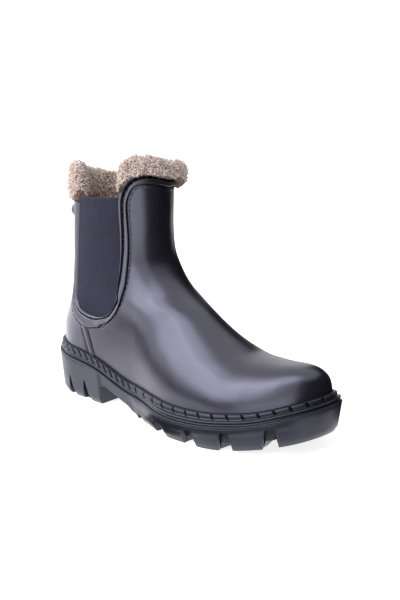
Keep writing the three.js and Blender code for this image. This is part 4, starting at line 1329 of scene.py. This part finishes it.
@dataclass
class Fleece:
    """Pile lining: its layers inside, and the rolls that stand over the collar and the strap."""

    finishes: Finishes
    lift: float = -4.6
    rise: float = 2.0
    wall: float = 1.4
    girth: float = 500.0
    foot: float = 17.5
    neck: float = 157.0
    collar_drop: float = 1.0
    seam: tuple[float, float] = (-95.0, -93.0)
    seam_top: tuple[float, float] = (40.0, 56.0)
    gap: float = 1.5
    curl_rise: tuple[float, float] = (140.0, 165.0)
    curl_scale: tuple[float, float] = (.75, 1.1)
    roll_scale: tuple[float, float] = (.75, 1.15)
    front_run: tuple[float, float] = (.338, .651)
    front_width: float = 13.0
    front_shift: Curve = Curve(((.338, 1.0), (.42, .2), (.56, .5), (.6, 3.5), (.651, 3.0)))
    front_top: Curve = Curve((
        (.338, 22.0), (.352, 17.5), (.37, 15.5), (.4, 14.0), (.47, 12.3), (.56, 12.0), (.6, 9.0),
        (.651, 6.0)))
    front_hang: Curve = Curve((
        (.338, 2.5), (.36, 3.0), (.385, 1.5), (.56, 1.5), (.582, 6.0), (.605, 12.5), (.651, 8.0)))
    rear_run: tuple[float, float] = (-.155, .155)
    rear_width: float = 12.5
    rear_shift: float = -2.6
    rear_height: tuple[float, float] = (31.0, 5.4)
    rear_tall: Curve = Curve(((-.155, .45), (0, .7), (.09, 1), (.155, .9)))
    roll_end: float = .085
    roll_pile: float = .75
    root: float = .7
    tilt: float = .38
    stretch: tuple[float, float] = (.7, 1.3)
    foot_locks: int = 4200
    heel_locks: int = 2400
    roll_locks: int = 4800
    floor_height: float = 13.4
    floor_gap: float = 3.2
    floor_reach: tuple[float, float] = (-104.0, 92.0)
    floor_wall: float = 2.4

    def layer(self, turn: Array, height: Array, name: str,
              seed: int) -> tuple[bpy.types.Object, Array, Array]:
        """Fleece layer inside the skin whose pile faces the foot: the piece, its points and directions."""
        base = FORM.lifted(turn, height, self.lift)
        pile = lumps(base, seed, (1.1, 6.0), (.7, 2.6))
        points = FORM.lifted(turn, height, self.lift - self.rise * .5 - pile * .7)
        flow = np.stack([turn * self.girth, height], -1)
        inward = -FORM.normal(turn, height)
        piece = link(name, sheet_mesh(points, flow, inward))
        thicken(piece, self.wall)
        return dress(piece, self.finishes.fleece), points, inward

    def foot_lining(self) -> None:
        """Lining of the foot and of the shaft's front."""
        upper = Upper(self.finishes, row_step=3.0)
        heights = upper.rows(self.foot, self.neck, (.5, .42, .35))
        x = np.where(heights < self.seam_top[0], self.seam[0], OPENING.x_at(heights) - self.gap)
        edge = FORM.turn_at(x, heights)[:, None]
        across = np.linspace(0, 1, 190)[None, :]
        turn = edge + (1 - 2 * edge) * across
        collar = FORM.shaft * Curve(COLLAR_EDGE)(turn) - self.collar_drop
        height = upper.bent(heights, self.neck, collar)
        piece, points, inward = self.layer(turn, height, "fleece_foot", 10)
        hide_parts("foot_lining")
        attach(piece, Body.BOOT.value)
        curls = self.curls("foot_curls", points, inward, self.foot_locks, self.curl_scale,
                           lambda place, _: ease(place[..., 2], *self.curl_rise), 15)
        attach(curls, Body.BOOT.value)

    def heel_lining(self) -> None:
        """Lining of the heel and the strap."""
        heights = np.linspace(self.foot, STRAP_TOP - .5, 56)
        x = np.where(heights < self.seam_top[1], self.seam[1], OPENING.x_at(heights, rear=True) + self.gap)
        edge = FORM.turn_at(x, heights)[:, None]
        turn = edge * np.linspace(-1, 1, 54)[None, :]
        piece, points, inward = self.layer(turn, heights[:, None] + 0 * turn, "fleece_heel", 20)
        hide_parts("strap_lining")
        LEAN.apply(piece)
        LEAN.apply(self.curls("heel_curls", points, inward, self.heel_locks, self.curl_scale,
                              lambda place, _: ease(place[..., 2], *self.curl_rise), 25))

    def floor(self) -> None:
        """Pile of the footbed."""
        turns = np.linspace(0, 1, 161)[None, :]
        rings = np.linspace(0, 1, 26)[:, None] ** .8
        edge = FORM.lifted(turns, self.floor_height, -self.floor_gap)
        x = np.clip(edge[..., 0], *self.floor_reach)
        centre = np.stack([x, FORM.swing(x), self.floor_height + FORM.sole_top(x)], -1)
        points = centre + (edge - centre) * rings[..., None]
        points[..., 2] += lumps(points, 30, (1.0, 6.5), (.6, 2.8)) * .7 + 2.0
        up = np.zeros_like(points)
        up[..., 2] = 1
        piece = link("fleece_floor", sheet_mesh(points, None, up))
        thicken(piece, self.floor_wall)
        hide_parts("footbed_fleece")
        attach(dress(piece, self.finishes.fleece), Body.BOOT.value)

    def roll(self, name: str, turns: Array, edge: Callable[[Array], Array], width: float,
             shift: Callable[[Array], Array], top: Callable[[Array], Array], hang: Callable[[Array], Array],
             seed: int) -> tuple[bpy.types.Object, Array, Array]:
        """Rounded band of fleece that stands on an edge.

        Args:
            name: Name of the piece.
            turns: Shares round of its stations.
            edge: Height of the edge it stands on, by share round.
            width: Its width.
            shift: How far out from the skin its middle stands.
            top: Its height over the edge.
            hang: Its reach below the edge.
            seed: Number that picks its swells.

        Returns:
            The piece, its points, and the outward directions at them.
        """
        run = np.linspace(0, 1, len(turns))
        swell = np.maximum(round_end(np.minimum(run, 1 - run), self.roll_end, 2.0), .02)[:, None]
        base = FORM.skin(turns, edge(turns))
        out = FORM.normal(turns, edge(turns))
        out[:, 2] = 0
        out = unit(out)
        high, low = top(turns), hang(turns)
        centre = base + out * shift(turns)[:, None]
        centre[:, 2] += (high - low) / 2
        angle = np.linspace(0, 2 * np.pi, 41)
        across = (np.cos(angle) * swell)[..., None] * out[:, None, :]
        upward = (np.sin(angle) * swell)[..., None] * np.array([0, 0, 1.0])
        body = centre[:, None, :] + across * width / 2 + upward * ((high + low) / 2)[:, None, None]
        away = unit(across + upward)
        pile = lumps(body, seed, (1.0, 9.0), (.9, 4.2), (.8, 2.2))
        points = body + away * (pile * self.roll_pile * swell)[..., None]
        piece = link(name, sheet_mesh(points, closed=True))
        # The roll's body takes the darker fleece, painted shade between the locks.
        return dress(piece, self.finishes.root), points, away

    @staticmethod
    def curl(turns: float = .95, radius: float = .5, tall: float = 2.9, thick: float = .55,
             thin: float = .3) -> bmesh.types.BMesh:
        """One lock of wool: a tapered tube that winds up from the origin, with its UV from root to tip."""
        bm = bmesh.new()
        bmesh.ops.create_cone(
            bm, cap_ends=False, cap_tris=False, segments=4, radius1=thick, radius2=thin, depth=1.0)
        rising = [e for e in bm.edges if abs(e.verts[0].co.z - e.verts[1].co.z) > .5]
        bmesh.ops.subdivide_edges(bm, edges=rising, cuts=3, use_grid_fill=True)
        layer = bm.loops.layers.uv.new("UVMap")
        for face in bm.faces:
            for loop in face.loops:
                loop[layer].uv = (0, loop.vert.co.z + .5)

        def path(share: float) -> Vector:
            """Place on the winding middle line."""
            angle = 2 * math.pi * turns * share
            return Vector((radius * math.cos(angle), radius * math.sin(angle), tall * share))

        for vert in bm.verts:
            share = vert.co.z + .5
            along = (path(share + .02) - path(share - .02)).normalized()
            side = along.cross(Vector((0, 0, 1))).normalized()
            vert.co = path(share) + side * vert.co.x + along.cross(side) * vert.co.y
        return bm

    def curls(self, name: str, points: Array, away: Array, count: int, scale: tuple[float, float],
              keep: Callable[[Array, Array], Array], seed: int) -> bpy.types.Object:
        """Locks of wool that stand out of a fleece face.

        Args:
            name: Name of the piece.
            points: Grid of places on the face.
            away: Outward directions there.
            count: Number of locks.
            scale: Smallest and largest scale of a lock.
            keep: Share of the locks kept at places and directions.
            seed: Number that places them.

        Returns:
            The locks as one piece.
        """
        rng = np.random.default_rng(SEED + seed)
        corner = points[:-1, :-1]
        area = np.linalg.norm(np.cross(points[1:, :-1] - corner, points[:-1, 1:] - corner), axis=-1).ravel()
        area = area * keep(corner, away[:-1, :-1]).ravel()
        pick = rng.choice(len(area), size=count, p=area / area.sum())
        row, column = np.unravel_index(pick, corner.shape[:2])
        s, t = rng.random((2, count, 1))
        place = (mix(mix(points[row, column], points[row + 1, column], s),
                     mix(points[row, column + 1], points[row + 1, column + 1], s), t))
        up = unit(away[row, column] + rng.normal(scale=self.tilt, size=(count, 3)))
        side = unit(np.cross(up, rng.normal(size=(count, 3))))
        size = rng.uniform(*scale, size=(count, 1))
        tall = size * rng.uniform(*self.stretch, (count, 1))
        axes = np.stack([side * size, np.cross(up, side) * size, up * tall], 1)
        piece = stamped(name, self.curl(), place - up * self.root, axes)
        return dress(piece, self.finishes.strand)

    def front_roll(self) -> None:
        """Band of fleece along the collar, which hangs over it on the inner side."""
        edge = Curve(COLLAR_EDGE)
        roll, points, away = self.roll(
            "collar_fleece", np.linspace(*self.front_run, 104), lambda t: FORM.shaft * edge(t),
            self.front_width, self.front_shift, self.front_top, self.front_hang, 40)
        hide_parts("fleece_collar_front")
        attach(roll, Body.BOOT.value)
        curls = self.curls("collar_curls", points, away, self.roll_locks, self.roll_scale,
                           lambda _, out: 1.0 * (out[..., 2] > -.7), 50)
        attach(curls, Body.BOOT.value)

    def rear_roll(self) -> None:
        """Lump of fleece that stands over the strap."""
        top, hang = self.rear_height
        roll, points, away = self.roll(
            "strap_fleece", np.linspace(*self.rear_run, 80), lambda t: STRAP_TOP + 0 * t, self.rear_width,
            lambda t: self.rear_shift + 0 * t, lambda t: top * self.rear_tall(t),
            lambda t: hang * self.rear_tall(t), 60)
        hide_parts("fleece_collar_rear")
        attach(roll, Body.STRAP.value)
        curls = self.curls("strap_curls", points, away, self.roll_locks, self.roll_scale,
                           lambda _, out: 1.0 * (out[..., 2] > -.6), 70)
        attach(curls, Body.STRAP.value)

    def build(self) -> None:
        """All of the lining."""
        self.foot_lining()
        self.heel_lining()
        self.floor()
        self.front_roll()
        self.rear_roll()


# The sole

@dataclass
class Welt:
    """Welt on the sole's ledge and the stitched rib against the skin above it."""

    finishes: Finishes
    rope_end: float = -28.0
    rope_pitch: float = 8.3
    block_pitch: float = 13.1
    slit_depth: float = 2.3
    slant: float = .62
    rope_slant: float = 1.05
    middle: float = 7.0
    # Offsets from a slit's middle with shares of its depth, a little under 0 on the crown beside it
    block: Pairs = (
        (-1.3, 0), (-.95, .55), (-.75, .95), (-.55, 1), (.55, 1), (.75, .95), (.95, .55), (1.3, 0),
        (2.0, -.04), (3.4, -.06), (5.0, -.07))
    rope: Pairs = (
        (-1.7, .2), (-1.35, .65), (-1.05, .95), (-.7, 1), (.7, 1), (1.05, .95), (1.35, .65), (1.7, .2),
        (2.3, 0), (3.1, -.08))
    # Heights over the sole's edge, distances from the skin and shares of the slits' depth
    section: tuple[tuple[float, float, float], ...] = (
        (4.2, -.5, 0), (4.2, 3.9, 0), (4.5, 4.2, 0), (4.9, 4.1, 0), (5.2, 3.6, .25), (5.45, 3.4, .8),
        (5.8, 3.6, 1), (6.6, 3.65, 1), (7.5, 3.55, 1), (8.3, 3.3, 1), (8.75, 2.95, .85), (9.1, 2.4, .3),
        (9.3, 1.6, 0), (9.3, -.5, 0), (4.2, -.5, 0))
    # Depths in from the sole's edge and heights over it
    lip: Pairs = (
        (2.4, .25), (2.9, .8), (3.0, 1.5), (2.4, 2.0), (1.7, 2.3), (1.3, 2.8), (1.3, 3.3), (1.7, 3.8),
        (2.4, 4.1))

    def strip(self) -> None:
        """Welt with a groove at its foot and a rounded lip."""
        turn = np.linspace(0, 1, 421)
        rows = [FORM.beside(turn, .25, -.6)]
        for depth, height in self.lip:
            plan = FORM.inset(turn, depth)
            rows.append(np.column_stack([plan, FORM.sole_top(plan[:, 0]) + height]))
        rows += [FORM.beside(turn, 4.5, 3.4), FORM.beside(turn, 4.6, -.6), rows[0]]
        piece = link("welt_strip", sheet_mesh(np.stack(rows), closed=True), 60)
        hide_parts("welt")
        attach(dress(piece, self.finishes.sole), Body.BOOT.value)

    def slits(self) -> tuple[Array, Array]:
        """Places of the slits' columns along the ring, with the share of the slit's depth at each.

        Returns:
            Shares round of the columns, and their depths, which may be a little under 0 on a crown.
        """
        fine = np.linspace(0, 1, 4001)
        ring = FORM.skin(fine, self.middle)
        length = lengths(ring)
        marks, depths = [], []
        for first, last in ((0.0, .5), (1.0, .5)):
            half = (fine >= min(first, last)) & (fine <= max(first, last))
            heel = fine[half & (ring[:, 0] < self.rope_end)]
            split = heel.max() if last > first else heel.min()
            a, b, c = (np.interp(t, fine, length) for t in (first, split, last))
            for low, high, pitch, pattern in ((a, b, self.rope_pitch, self.rope),
                                              (b, c, self.block_pitch, self.block)):
                count = max(1, round(abs(high - low) / pitch))
                real = (high - low) / count
                for i in range(count):
                    centre = low + (i + .5) * real
                    reach = abs(real) / 2
                    offsets = [(o, d) for o, d in pattern if abs(o) < reach - .2]
                    offsets += [(-o, d) for o, d in pattern if o > 1.75 and o < reach - .2]
                    offsets.append((reach, pattern[-1][1]))
                    marks += [centre + offset for offset, _ in offsets]
                    depths += [depth for _, depth in offsets]
        order = np.argsort(marks)
        marks, depths = np.array(marks)[order], np.array(depths)[order]
        keep = np.concatenate([[True], np.diff(marks) > .05])
        return np.interp(marks[keep], length, fine), depths[keep]

    def rib(self) -> None:
        """Rib of slanting blocks, like thick stitches round the heel, over a fine bead."""
        turn, depth = self.slits()
        turn, depth = np.append(turn, turn[0] + 1), np.append(depth, depth[0])
        heel = FORM.skin(turn, self.middle)[:, 0] < self.rope_end
        lean = np.where(heel, self.rope_slant, self.slant) * np.clip(np.sin(2 * np.pi * turn) * 5, -1, 1)
        step = FORM.skin(turn + .001, self.middle) - FORM.skin(turn - .001, self.middle)
        speed = np.linalg.norm(step, axis=1) / .002
        slant, cut = lean / speed, self.slit_depth * depth
        points = np.stack([FORM.beside(turn - slant * (height - self.middle), height, out - cut * share)
                           for height, out, share in self.section])
        piece = link("stitched_rib", sheet_mesh(points, closed=True), 50)
        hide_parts("welt_rib")
        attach(dress(piece, self.finishes.sole), Body.BOOT.value)

    def painted_shade_ring(self, name: str, section: Pairs) -> None:
        """Black ring of painted shade round the foot, of heights over the sole's edge and distances from the
        skin.
        """
        turn = np.linspace(0, 1, 421)
        points = np.stack([FORM.beside(turn, height, out) for height, out in section])
        piece = link(name, sheet_mesh(points, closed=True), 40)
        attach(dress(piece, self.finishes.stitch), Body.BOOT.value)

    def build(self) -> None:
        """The welt, the rib, and the black rings of painted shade in the rib's slits and in the groove over
        it.
        """
        self.strip()
        self.rib()
        # Painted shade: black rings deep in the rib's slits and in the groove over the rib.
        self.painted_shade_ring("rib_gap_shade", ((5.3, 1.75), (8.7, 1.75), (8.7, .9), (5.3, .9), (5.3, 1.75)))
        self.painted_shade_ring("rib_groove_shade", ((9.1, -.4), (9.1, 1.35), (9.75, .3), (9.9, -.4), (9.1, -.4)))


@dataclass
class Outsole:
    """Lug sole with a heel, a waist arch, side pockets and channels."""

    finishes: Finishes
    wall_lean: float = 3.0
    bevel: float = 2.6
    bevel_height: float = 4.5
    cut_bevel: float = .6
    cut_least: float = 2.0
    pocket_depth: float = 6.0
    corner: float = .5
    channel: float = 6.5
    step: float = 2.4
    # Side pockets: heelward foot, heelward top, toeward top, toeward foot, and height of the top
    pockets: tuple[tuple[float, ...], ...] = (
        (-26.2, -25.4, -19.6, -18.4, 5.6), (4.2, 6.0, 17.8, 21.2, 10.2), (41.6, 43.4, 51.4, 54.4, 14.4),
        (76.4, 78.2, 85.0, 88.0, 19.0), (110.6, 112.6, 119.2, 122.2, 26.0))
    pocket_edge: float = 1.2
    # Heel notches in the same order
    notches: tuple[tuple[float, ...], ...] = (
        (-115.6, -114.2, -112.9, -107.6, 18.6), (-96.2, -94.4, -93.0, -87.2, 18.4))
    heel_front: float = -80.0
    arch: Pairs = ((-74.0, 0), (-72.8, 17.2), (-67.2, 19.3), (-37.2, 9.0), (-28.4, 1.4), (-27.6, 0))
    steep: Pairs = ((-74.0, 0), (-73.9, 0))
    # Depths in from the sole's edge and drops below it
    rim: Pairs = ((13.0, .1), (2.6, .1), (1.5, 0), (.8, .1), (.3, .4), (.05, .9), (0, 1.4), (.15, 1.9))
    wall_top: float = 2.3
    wall_steps: tuple[float, ...] = (0, .03, .09, .18, .3, .42, .54, .66, .78, .9, 1.0)
    # Ledges in the wall: depth, start and end along the sole, and drop below the edge
    ledges: tuple[tuple, ...] = (
        (1.3, (-73.4, -72.2), (-34, -22), (2.4, 3.2)), (.45, (-38, -30), (120, 140), (8.4, 9.2)))
    # Groove under the edge: depth, drop and reach
    wall_groove: tuple[float, float, float] = (.55, 2.3, .45)
    spine_reach: tuple[float, float] = (-106.0, 94.0)
    zigzag: tuple[float, float] = (3.6, 21.0)
    groove: tuple[float, float] = (3.6, 5.0)
    groove_start: tuple[float, float] = (-16.0, -12.0)
    groove_end: tuple[float, float] = (100.0, 104.0)

    def base(self, x: Array) -> Array:
        """Height of the underside at the wall, with the arch but without pockets."""
        return np.maximum(FORM.tread(x), read(self.arch, x))

    def cut(self, x: Array) -> Array:
        """Height of the underside at the wall with pockets and notches cut."""
        height = self.base(x)
        for a, b, c, d, top in self.pockets + self.notches:
            rise = read(((a, 0), (b, 1), (c, 1), (d, 0)), x)
            height = np.maximum(height, mix(FORM.tread(x), top, rise))
        return height

    def stations(self) -> Array:
        """Places along the sole: every corner of its features, and a fill between them."""
        corners = {-FORM.half, FORM.half, *(x for x, _ in self.arch)}
        for a, b, c, d, _ in self.pockets + self.notches:
            corners |= {a, b, c, d}
        for a, _, _, d, _ in self.pockets:
            corners |= {a - self.pocket_edge, d + self.pocket_edge}
        turn = np.arccos(np.clip(-np.array(sorted(corners)) / FORM.half, -1, 1)) / (2 * np.pi)
        fine = np.linspace(0, .5, 3001)
        length = lengths(FORM.plan(fine))
        marks = np.interp(turn, fine, length)
        filled = [np.linspace(a, b, max(1, math.ceil((b - a) / self.step)), endpoint=False)
                  for a, b in zip(marks, marks[1:])]
        return np.interp(np.concatenate([*filled, marks[-1:]]), length, fine)

    def wall(self, x: Array, height: Array) -> Array:
        """How far the wall stands in from the sole's edge at places along the sole and heights."""
        drop = FORM.sole_top(x) - height
        share = drop / np.maximum(FORM.sole_top(x) - FORM.tread(x) - self.bevel_height, 1)
        depth, middle, reach = self.wall_groove
        total = self.wall_lean * np.clip(share, 0, 1) + depth * np.exp(-((drop - middle) / reach) ** 2)
        for depth, start, end, below in self.ledges:
            total += depth * ease(x, *start) * (1 - ease(x, *end)) * ease(drop, *below)
        return total

    def body(self) -> None:
        """The sole in one closed grid, its columns round the edge and its rows from top to tread."""
        half = self.stations()
        turn = np.concatenate([half, 1 - half[::-1][1:]])
        x = FORM.plan(turn)[:, 0]
        top, tread, base, cut = FORM.sole_top(x), FORM.tread(x), self.base(x), self.cut(x)
        deep = cut > base + self.cut_least
        pocket = deep & (x >= self.heel_front)
        low = np.where(pocket, np.minimum(cut, tread + self.channel), np.where(deep, base, cut))
        foot = np.maximum(tread + self.bevel_height, cut)
        lean = self.wall(x, foot)
        edge = lean + np.where(deep, self.cut_bevel, self.bevel)
        inner = FORM.inset(turn, lean + self.pocket_depth + self.corner)
        sides = np.clip(x, *self.spine_reach)
        middle = ease(sides, *self.groove_start) * (1 - ease(sides, *self.groove_end))
        swing, pitch = self.zigzag
        wave = swing * (2 * np.abs(np.mod(sides / pitch, 2) - 1) - 1) * middle
        spine = np.stack([sides, FORM.swing(sides) + wave], -1)
        width, depth = self.groove
        gap = np.minimum(width / np.maximum(np.linalg.norm(inner - spine, axis=1), 4), .8)[:, None]
        centre = np.where(middle > .5, FORM.tread(sides) + depth, self.base(sides))
        rows = [(np.stack([sides, FORM.swing(sides)], -1), FORM.sole_top(sides))]
        rows += [(FORM.inset(turn, depth), top - drop) for depth, drop in self.rim]
        for step in self.wall_steps:
            height = mix(top - self.wall_top, foot, step)
            rows.append((FORM.inset(turn, self.wall(x, height)), height))
        rows += [(FORM.inset(turn, mix(lean, edge, .6)), mix(foot, cut, np.where(deep, .5, .55))),
                 (FORM.inset(turn, edge), cut), (FORM.inset(turn, lean + self.pocket_depth), cut),
                 (inner, low)]
        for share in (.33, .66):
            plan = mix(inner, spine, share)
            vault = read(self.steep + self.arch[1:], plan[:, 0]) + FORM.tread(plan[:, 0])
            rows.append((plan, np.where(pocket, low, vault)))
        rows += [(mix(inner, spine, 1 - gap), np.where(pocket, low, self.base(sides))),
                 (mix(inner, spine, 1 - .86 * gap), centre), (spine, centre)]
        points = np.stack([np.column_stack(row) for row in rows])
        piece = link("lug_sole", sheet_mesh(points, closed=True, weld=.02), 32)
        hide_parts("outsole")
        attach(dress(piece, self.finishes.sole), Body.BOOT.value)

    def build(self) -> None:
        """The sole, and the finishes of the floor plates that keep their solids."""
        self.body()
        for node, material in (("insole_board", self.finishes.board), ("footbed", self.finishes.foam)):
            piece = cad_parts[node]
            piece.data.materials.clear()
            piece.data.materials.append(material)
            log.info("%s keeps its solid, in %s", node, material.name)


# The studio

@dataclass
class Studio:
    """Camera, floor, soft lamps and dark cards."""

    azimuth: float = 43.5
    elevation: float = 17.0
    distance: float = 1.1
    target: tuple[float, float, float] = (.016, -.00315, .109)
    lens: float = 78.2
    fill: float = .36
    floor_glow: float = .78
    floor_mirror: float = 1.0
    floor_half: float = 6.0
    cool: tuple[float, float, float] = (.95, .94, 1.0)
    black: tuple[float, float, float] = (.012, .012, .014)
    card_foot: float = .002
    card_rest: float = .0008

    def camera(self) -> None:
        """Camera at the photograph's angle."""
        a, e = math.radians(self.azimuth), math.radians(self.elevation)
        back = Vector((math.sin(a) * math.cos(e), -math.cos(a) * math.cos(e), math.sin(e)))
        data = bpy.data.cameras.new("camera")
        data.lens = self.lens
        data.sensor_width = 36.0
        data.clip_start = .01
        camera = bpy.data.objects.new("camera", data)
        camera.location = Vector(self.target) + back * self.distance
        camera.rotation_euler = back.to_track_quat("Z", "Y").to_euler()
        bpy.context.scene.collection.objects.link(camera)
        bpy.context.scene.camera = camera

    def lamp(self, name: str, place: Sequence[float], aim: Sequence[float], size: tuple[float, float],
             power: float) -> None:
        """Soft box at a place, turned to an aim."""
        data = bpy.data.lights.new(name, "AREA")
        data.shape = "RECTANGLE"
        data.size, data.size_y = size
        data.energy = power
        data.color = self.cool
        light = bpy.data.objects.new(name, data)
        light.location = place
        light.rotation_euler = (Vector(place) - Vector(aim)).to_track_quat("Z", "Y").to_euler()
        bpy.context.scene.collection.objects.link(light)

    def world(self) -> None:
        """White surroundings for the camera and for reflections, plain fill for the rest."""
        web = Web("studio", world=True)
        path = web.node("ShaderNodeLightPath").outputs
        seen = web.math("MAXIMUM", path["Is Camera Ray"], path["Is Glossy Ray"])
        seen = web.math("MAXIMUM", seen, path["Is Transmission Ray"])
        strength = web.node("ShaderNodeMapRange", {}, {"Value": seen, "To Min": self.fill, "To Max": 1.0})
        bpy.context.scene.world = web.close("ShaderNodeBackground", {
            "Color": (1.0, 1.0, 1.0), "Strength": strength.outputs["Result"]})

    def floor(self) -> None:
        """Plain pale floor that keeps the boot's shadow."""
        bm = bmesh.new()
        bmesh.ops.create_grid(bm, x_segments=2, y_segments=2, size=self.floor_half)
        floor = link("floor", bm)
        web = Web("pale_floor")
        path = web.node("ShaderNodeLightPath").outputs
        seen, mirrored = (Signal(web, path[name]) for name in ("Is Camera Ray", "Is Glossy Ray"))
        paint = web.node("ShaderNodeBsdfDiffuse", {}, {"Color": (.9, .9, .9)})
        glow = web.node("ShaderNodeEmission", {}, {
            "Color": (1.0, 1.0, 1.0), "Strength": seen * self.floor_glow + mirrored * self.floor_mirror})
        floor.data.materials.append(web.close("ShaderNodeAddShader", {
            0: paint.outputs[0], 1: glow.outputs[0]}))

    def card(self, name: str, radius: float, start: float, end: float, height: float) -> None:
        """Dark card bent round the boot, seen only in reflections.

        Args:
            name: Name of the card.
            radius: Its distance from the boot in metres.
            start: First direction in degrees, with 0 to the toe.
            end: Last direction.
            height: Height of its upper edge in metres.
        """
        bm = bmesh.new()
        bmesh.ops.create_grid(bm, x_segments=24, y_segments=2, size=1.0)
        for vert in bm.verts:
            angle = math.radians(mix(start, end, (vert.co.x + 1) / 2))
            z = mix(self.card_foot, height, (vert.co.y + 1) / 2)
            vert.co = (radius * math.cos(angle), radius * math.sin(angle), z)
        self.darken(link(name, bm))

    def darken(self, card: bpy.types.Object) -> None:
        """Matt black for a card, which only reflections see."""
        card.data.materials.append(Web(card.name).close("ShaderNodeBsdfDiffuse", {"Color": self.black}))
        for ray in ("camera", "diffuse", "shadow", "transmission"):
            setattr(card, f"visible_{ray}", False)

    def low_card(self, name: str, corners: Sequence[tuple[float, float]]) -> None:
        """Dark card that lies beside the boot, seen only in reflections."""
        bm = bmesh.new()
        bm.faces.new([bm.verts.new((x, y, self.card_rest)) for x, y in corners])
        self.darken(link(name, bm))

    def build(self) -> None:
        """Everything that isn't the boot."""
        bpy.context.scene.view_settings.view_transform = "Standard"
        self.camera()
        self.world()
        self.floor()
        self.lamp("side_box", (-.42, -1.25, .8), (0, 0, .07), size=(1.6, 1.1), power=17.0)
        self.lamp("heel_box", (-1.3, -.3, .75), (0, 0, .08), size=(.8, .9), power=9.0)
        self.lamp("top_box", (.25, -.85, 1.45), (0, 0, .05), size=(1.3, .95), power=9.5)
        self.card("toe_card", radius=1.4, start=-38, end=118, height=1.25)
        self.card("side_card", radius=.22, start=-146, end=-62, height=.05)
        self.low_card("strap_floor_card", ((-.2, .25), (-.2, 1.4), (-1.2, 1.4), (-.9, .35), (-.42, .16)))
        self.low_card("sole_floor_card", (
            (-.02, -.042), (.05, -.062), (.11, -.056), (.16, -.03), (.24, -.09), (.14, -.15), (.03, -.13),
            (-.05, -.085)))
        self.low_card("toe_floor_card", (
            (.2, -.1), (1.3, -.9), (1.3, 1.3), (-.2, 1.3), (.0, .12), (.19, .06)))


def main() -> None:
    """Build the boot and its studio."""
    logging.basicConfig(level=logging.INFO, format="%(name)s %(message)s")
    Studio().build()
    finishes = Finishes()
    Upper(finishes).build()
    EdgeTrim(finishes).build()
    for inner in (False, True):
        Gusset(finishes, inner).build()
    Fleece(finishes).build()
    Welt(finishes).build()
    Outsole(finishes).build()


if __name__ == "__main__":
    main()
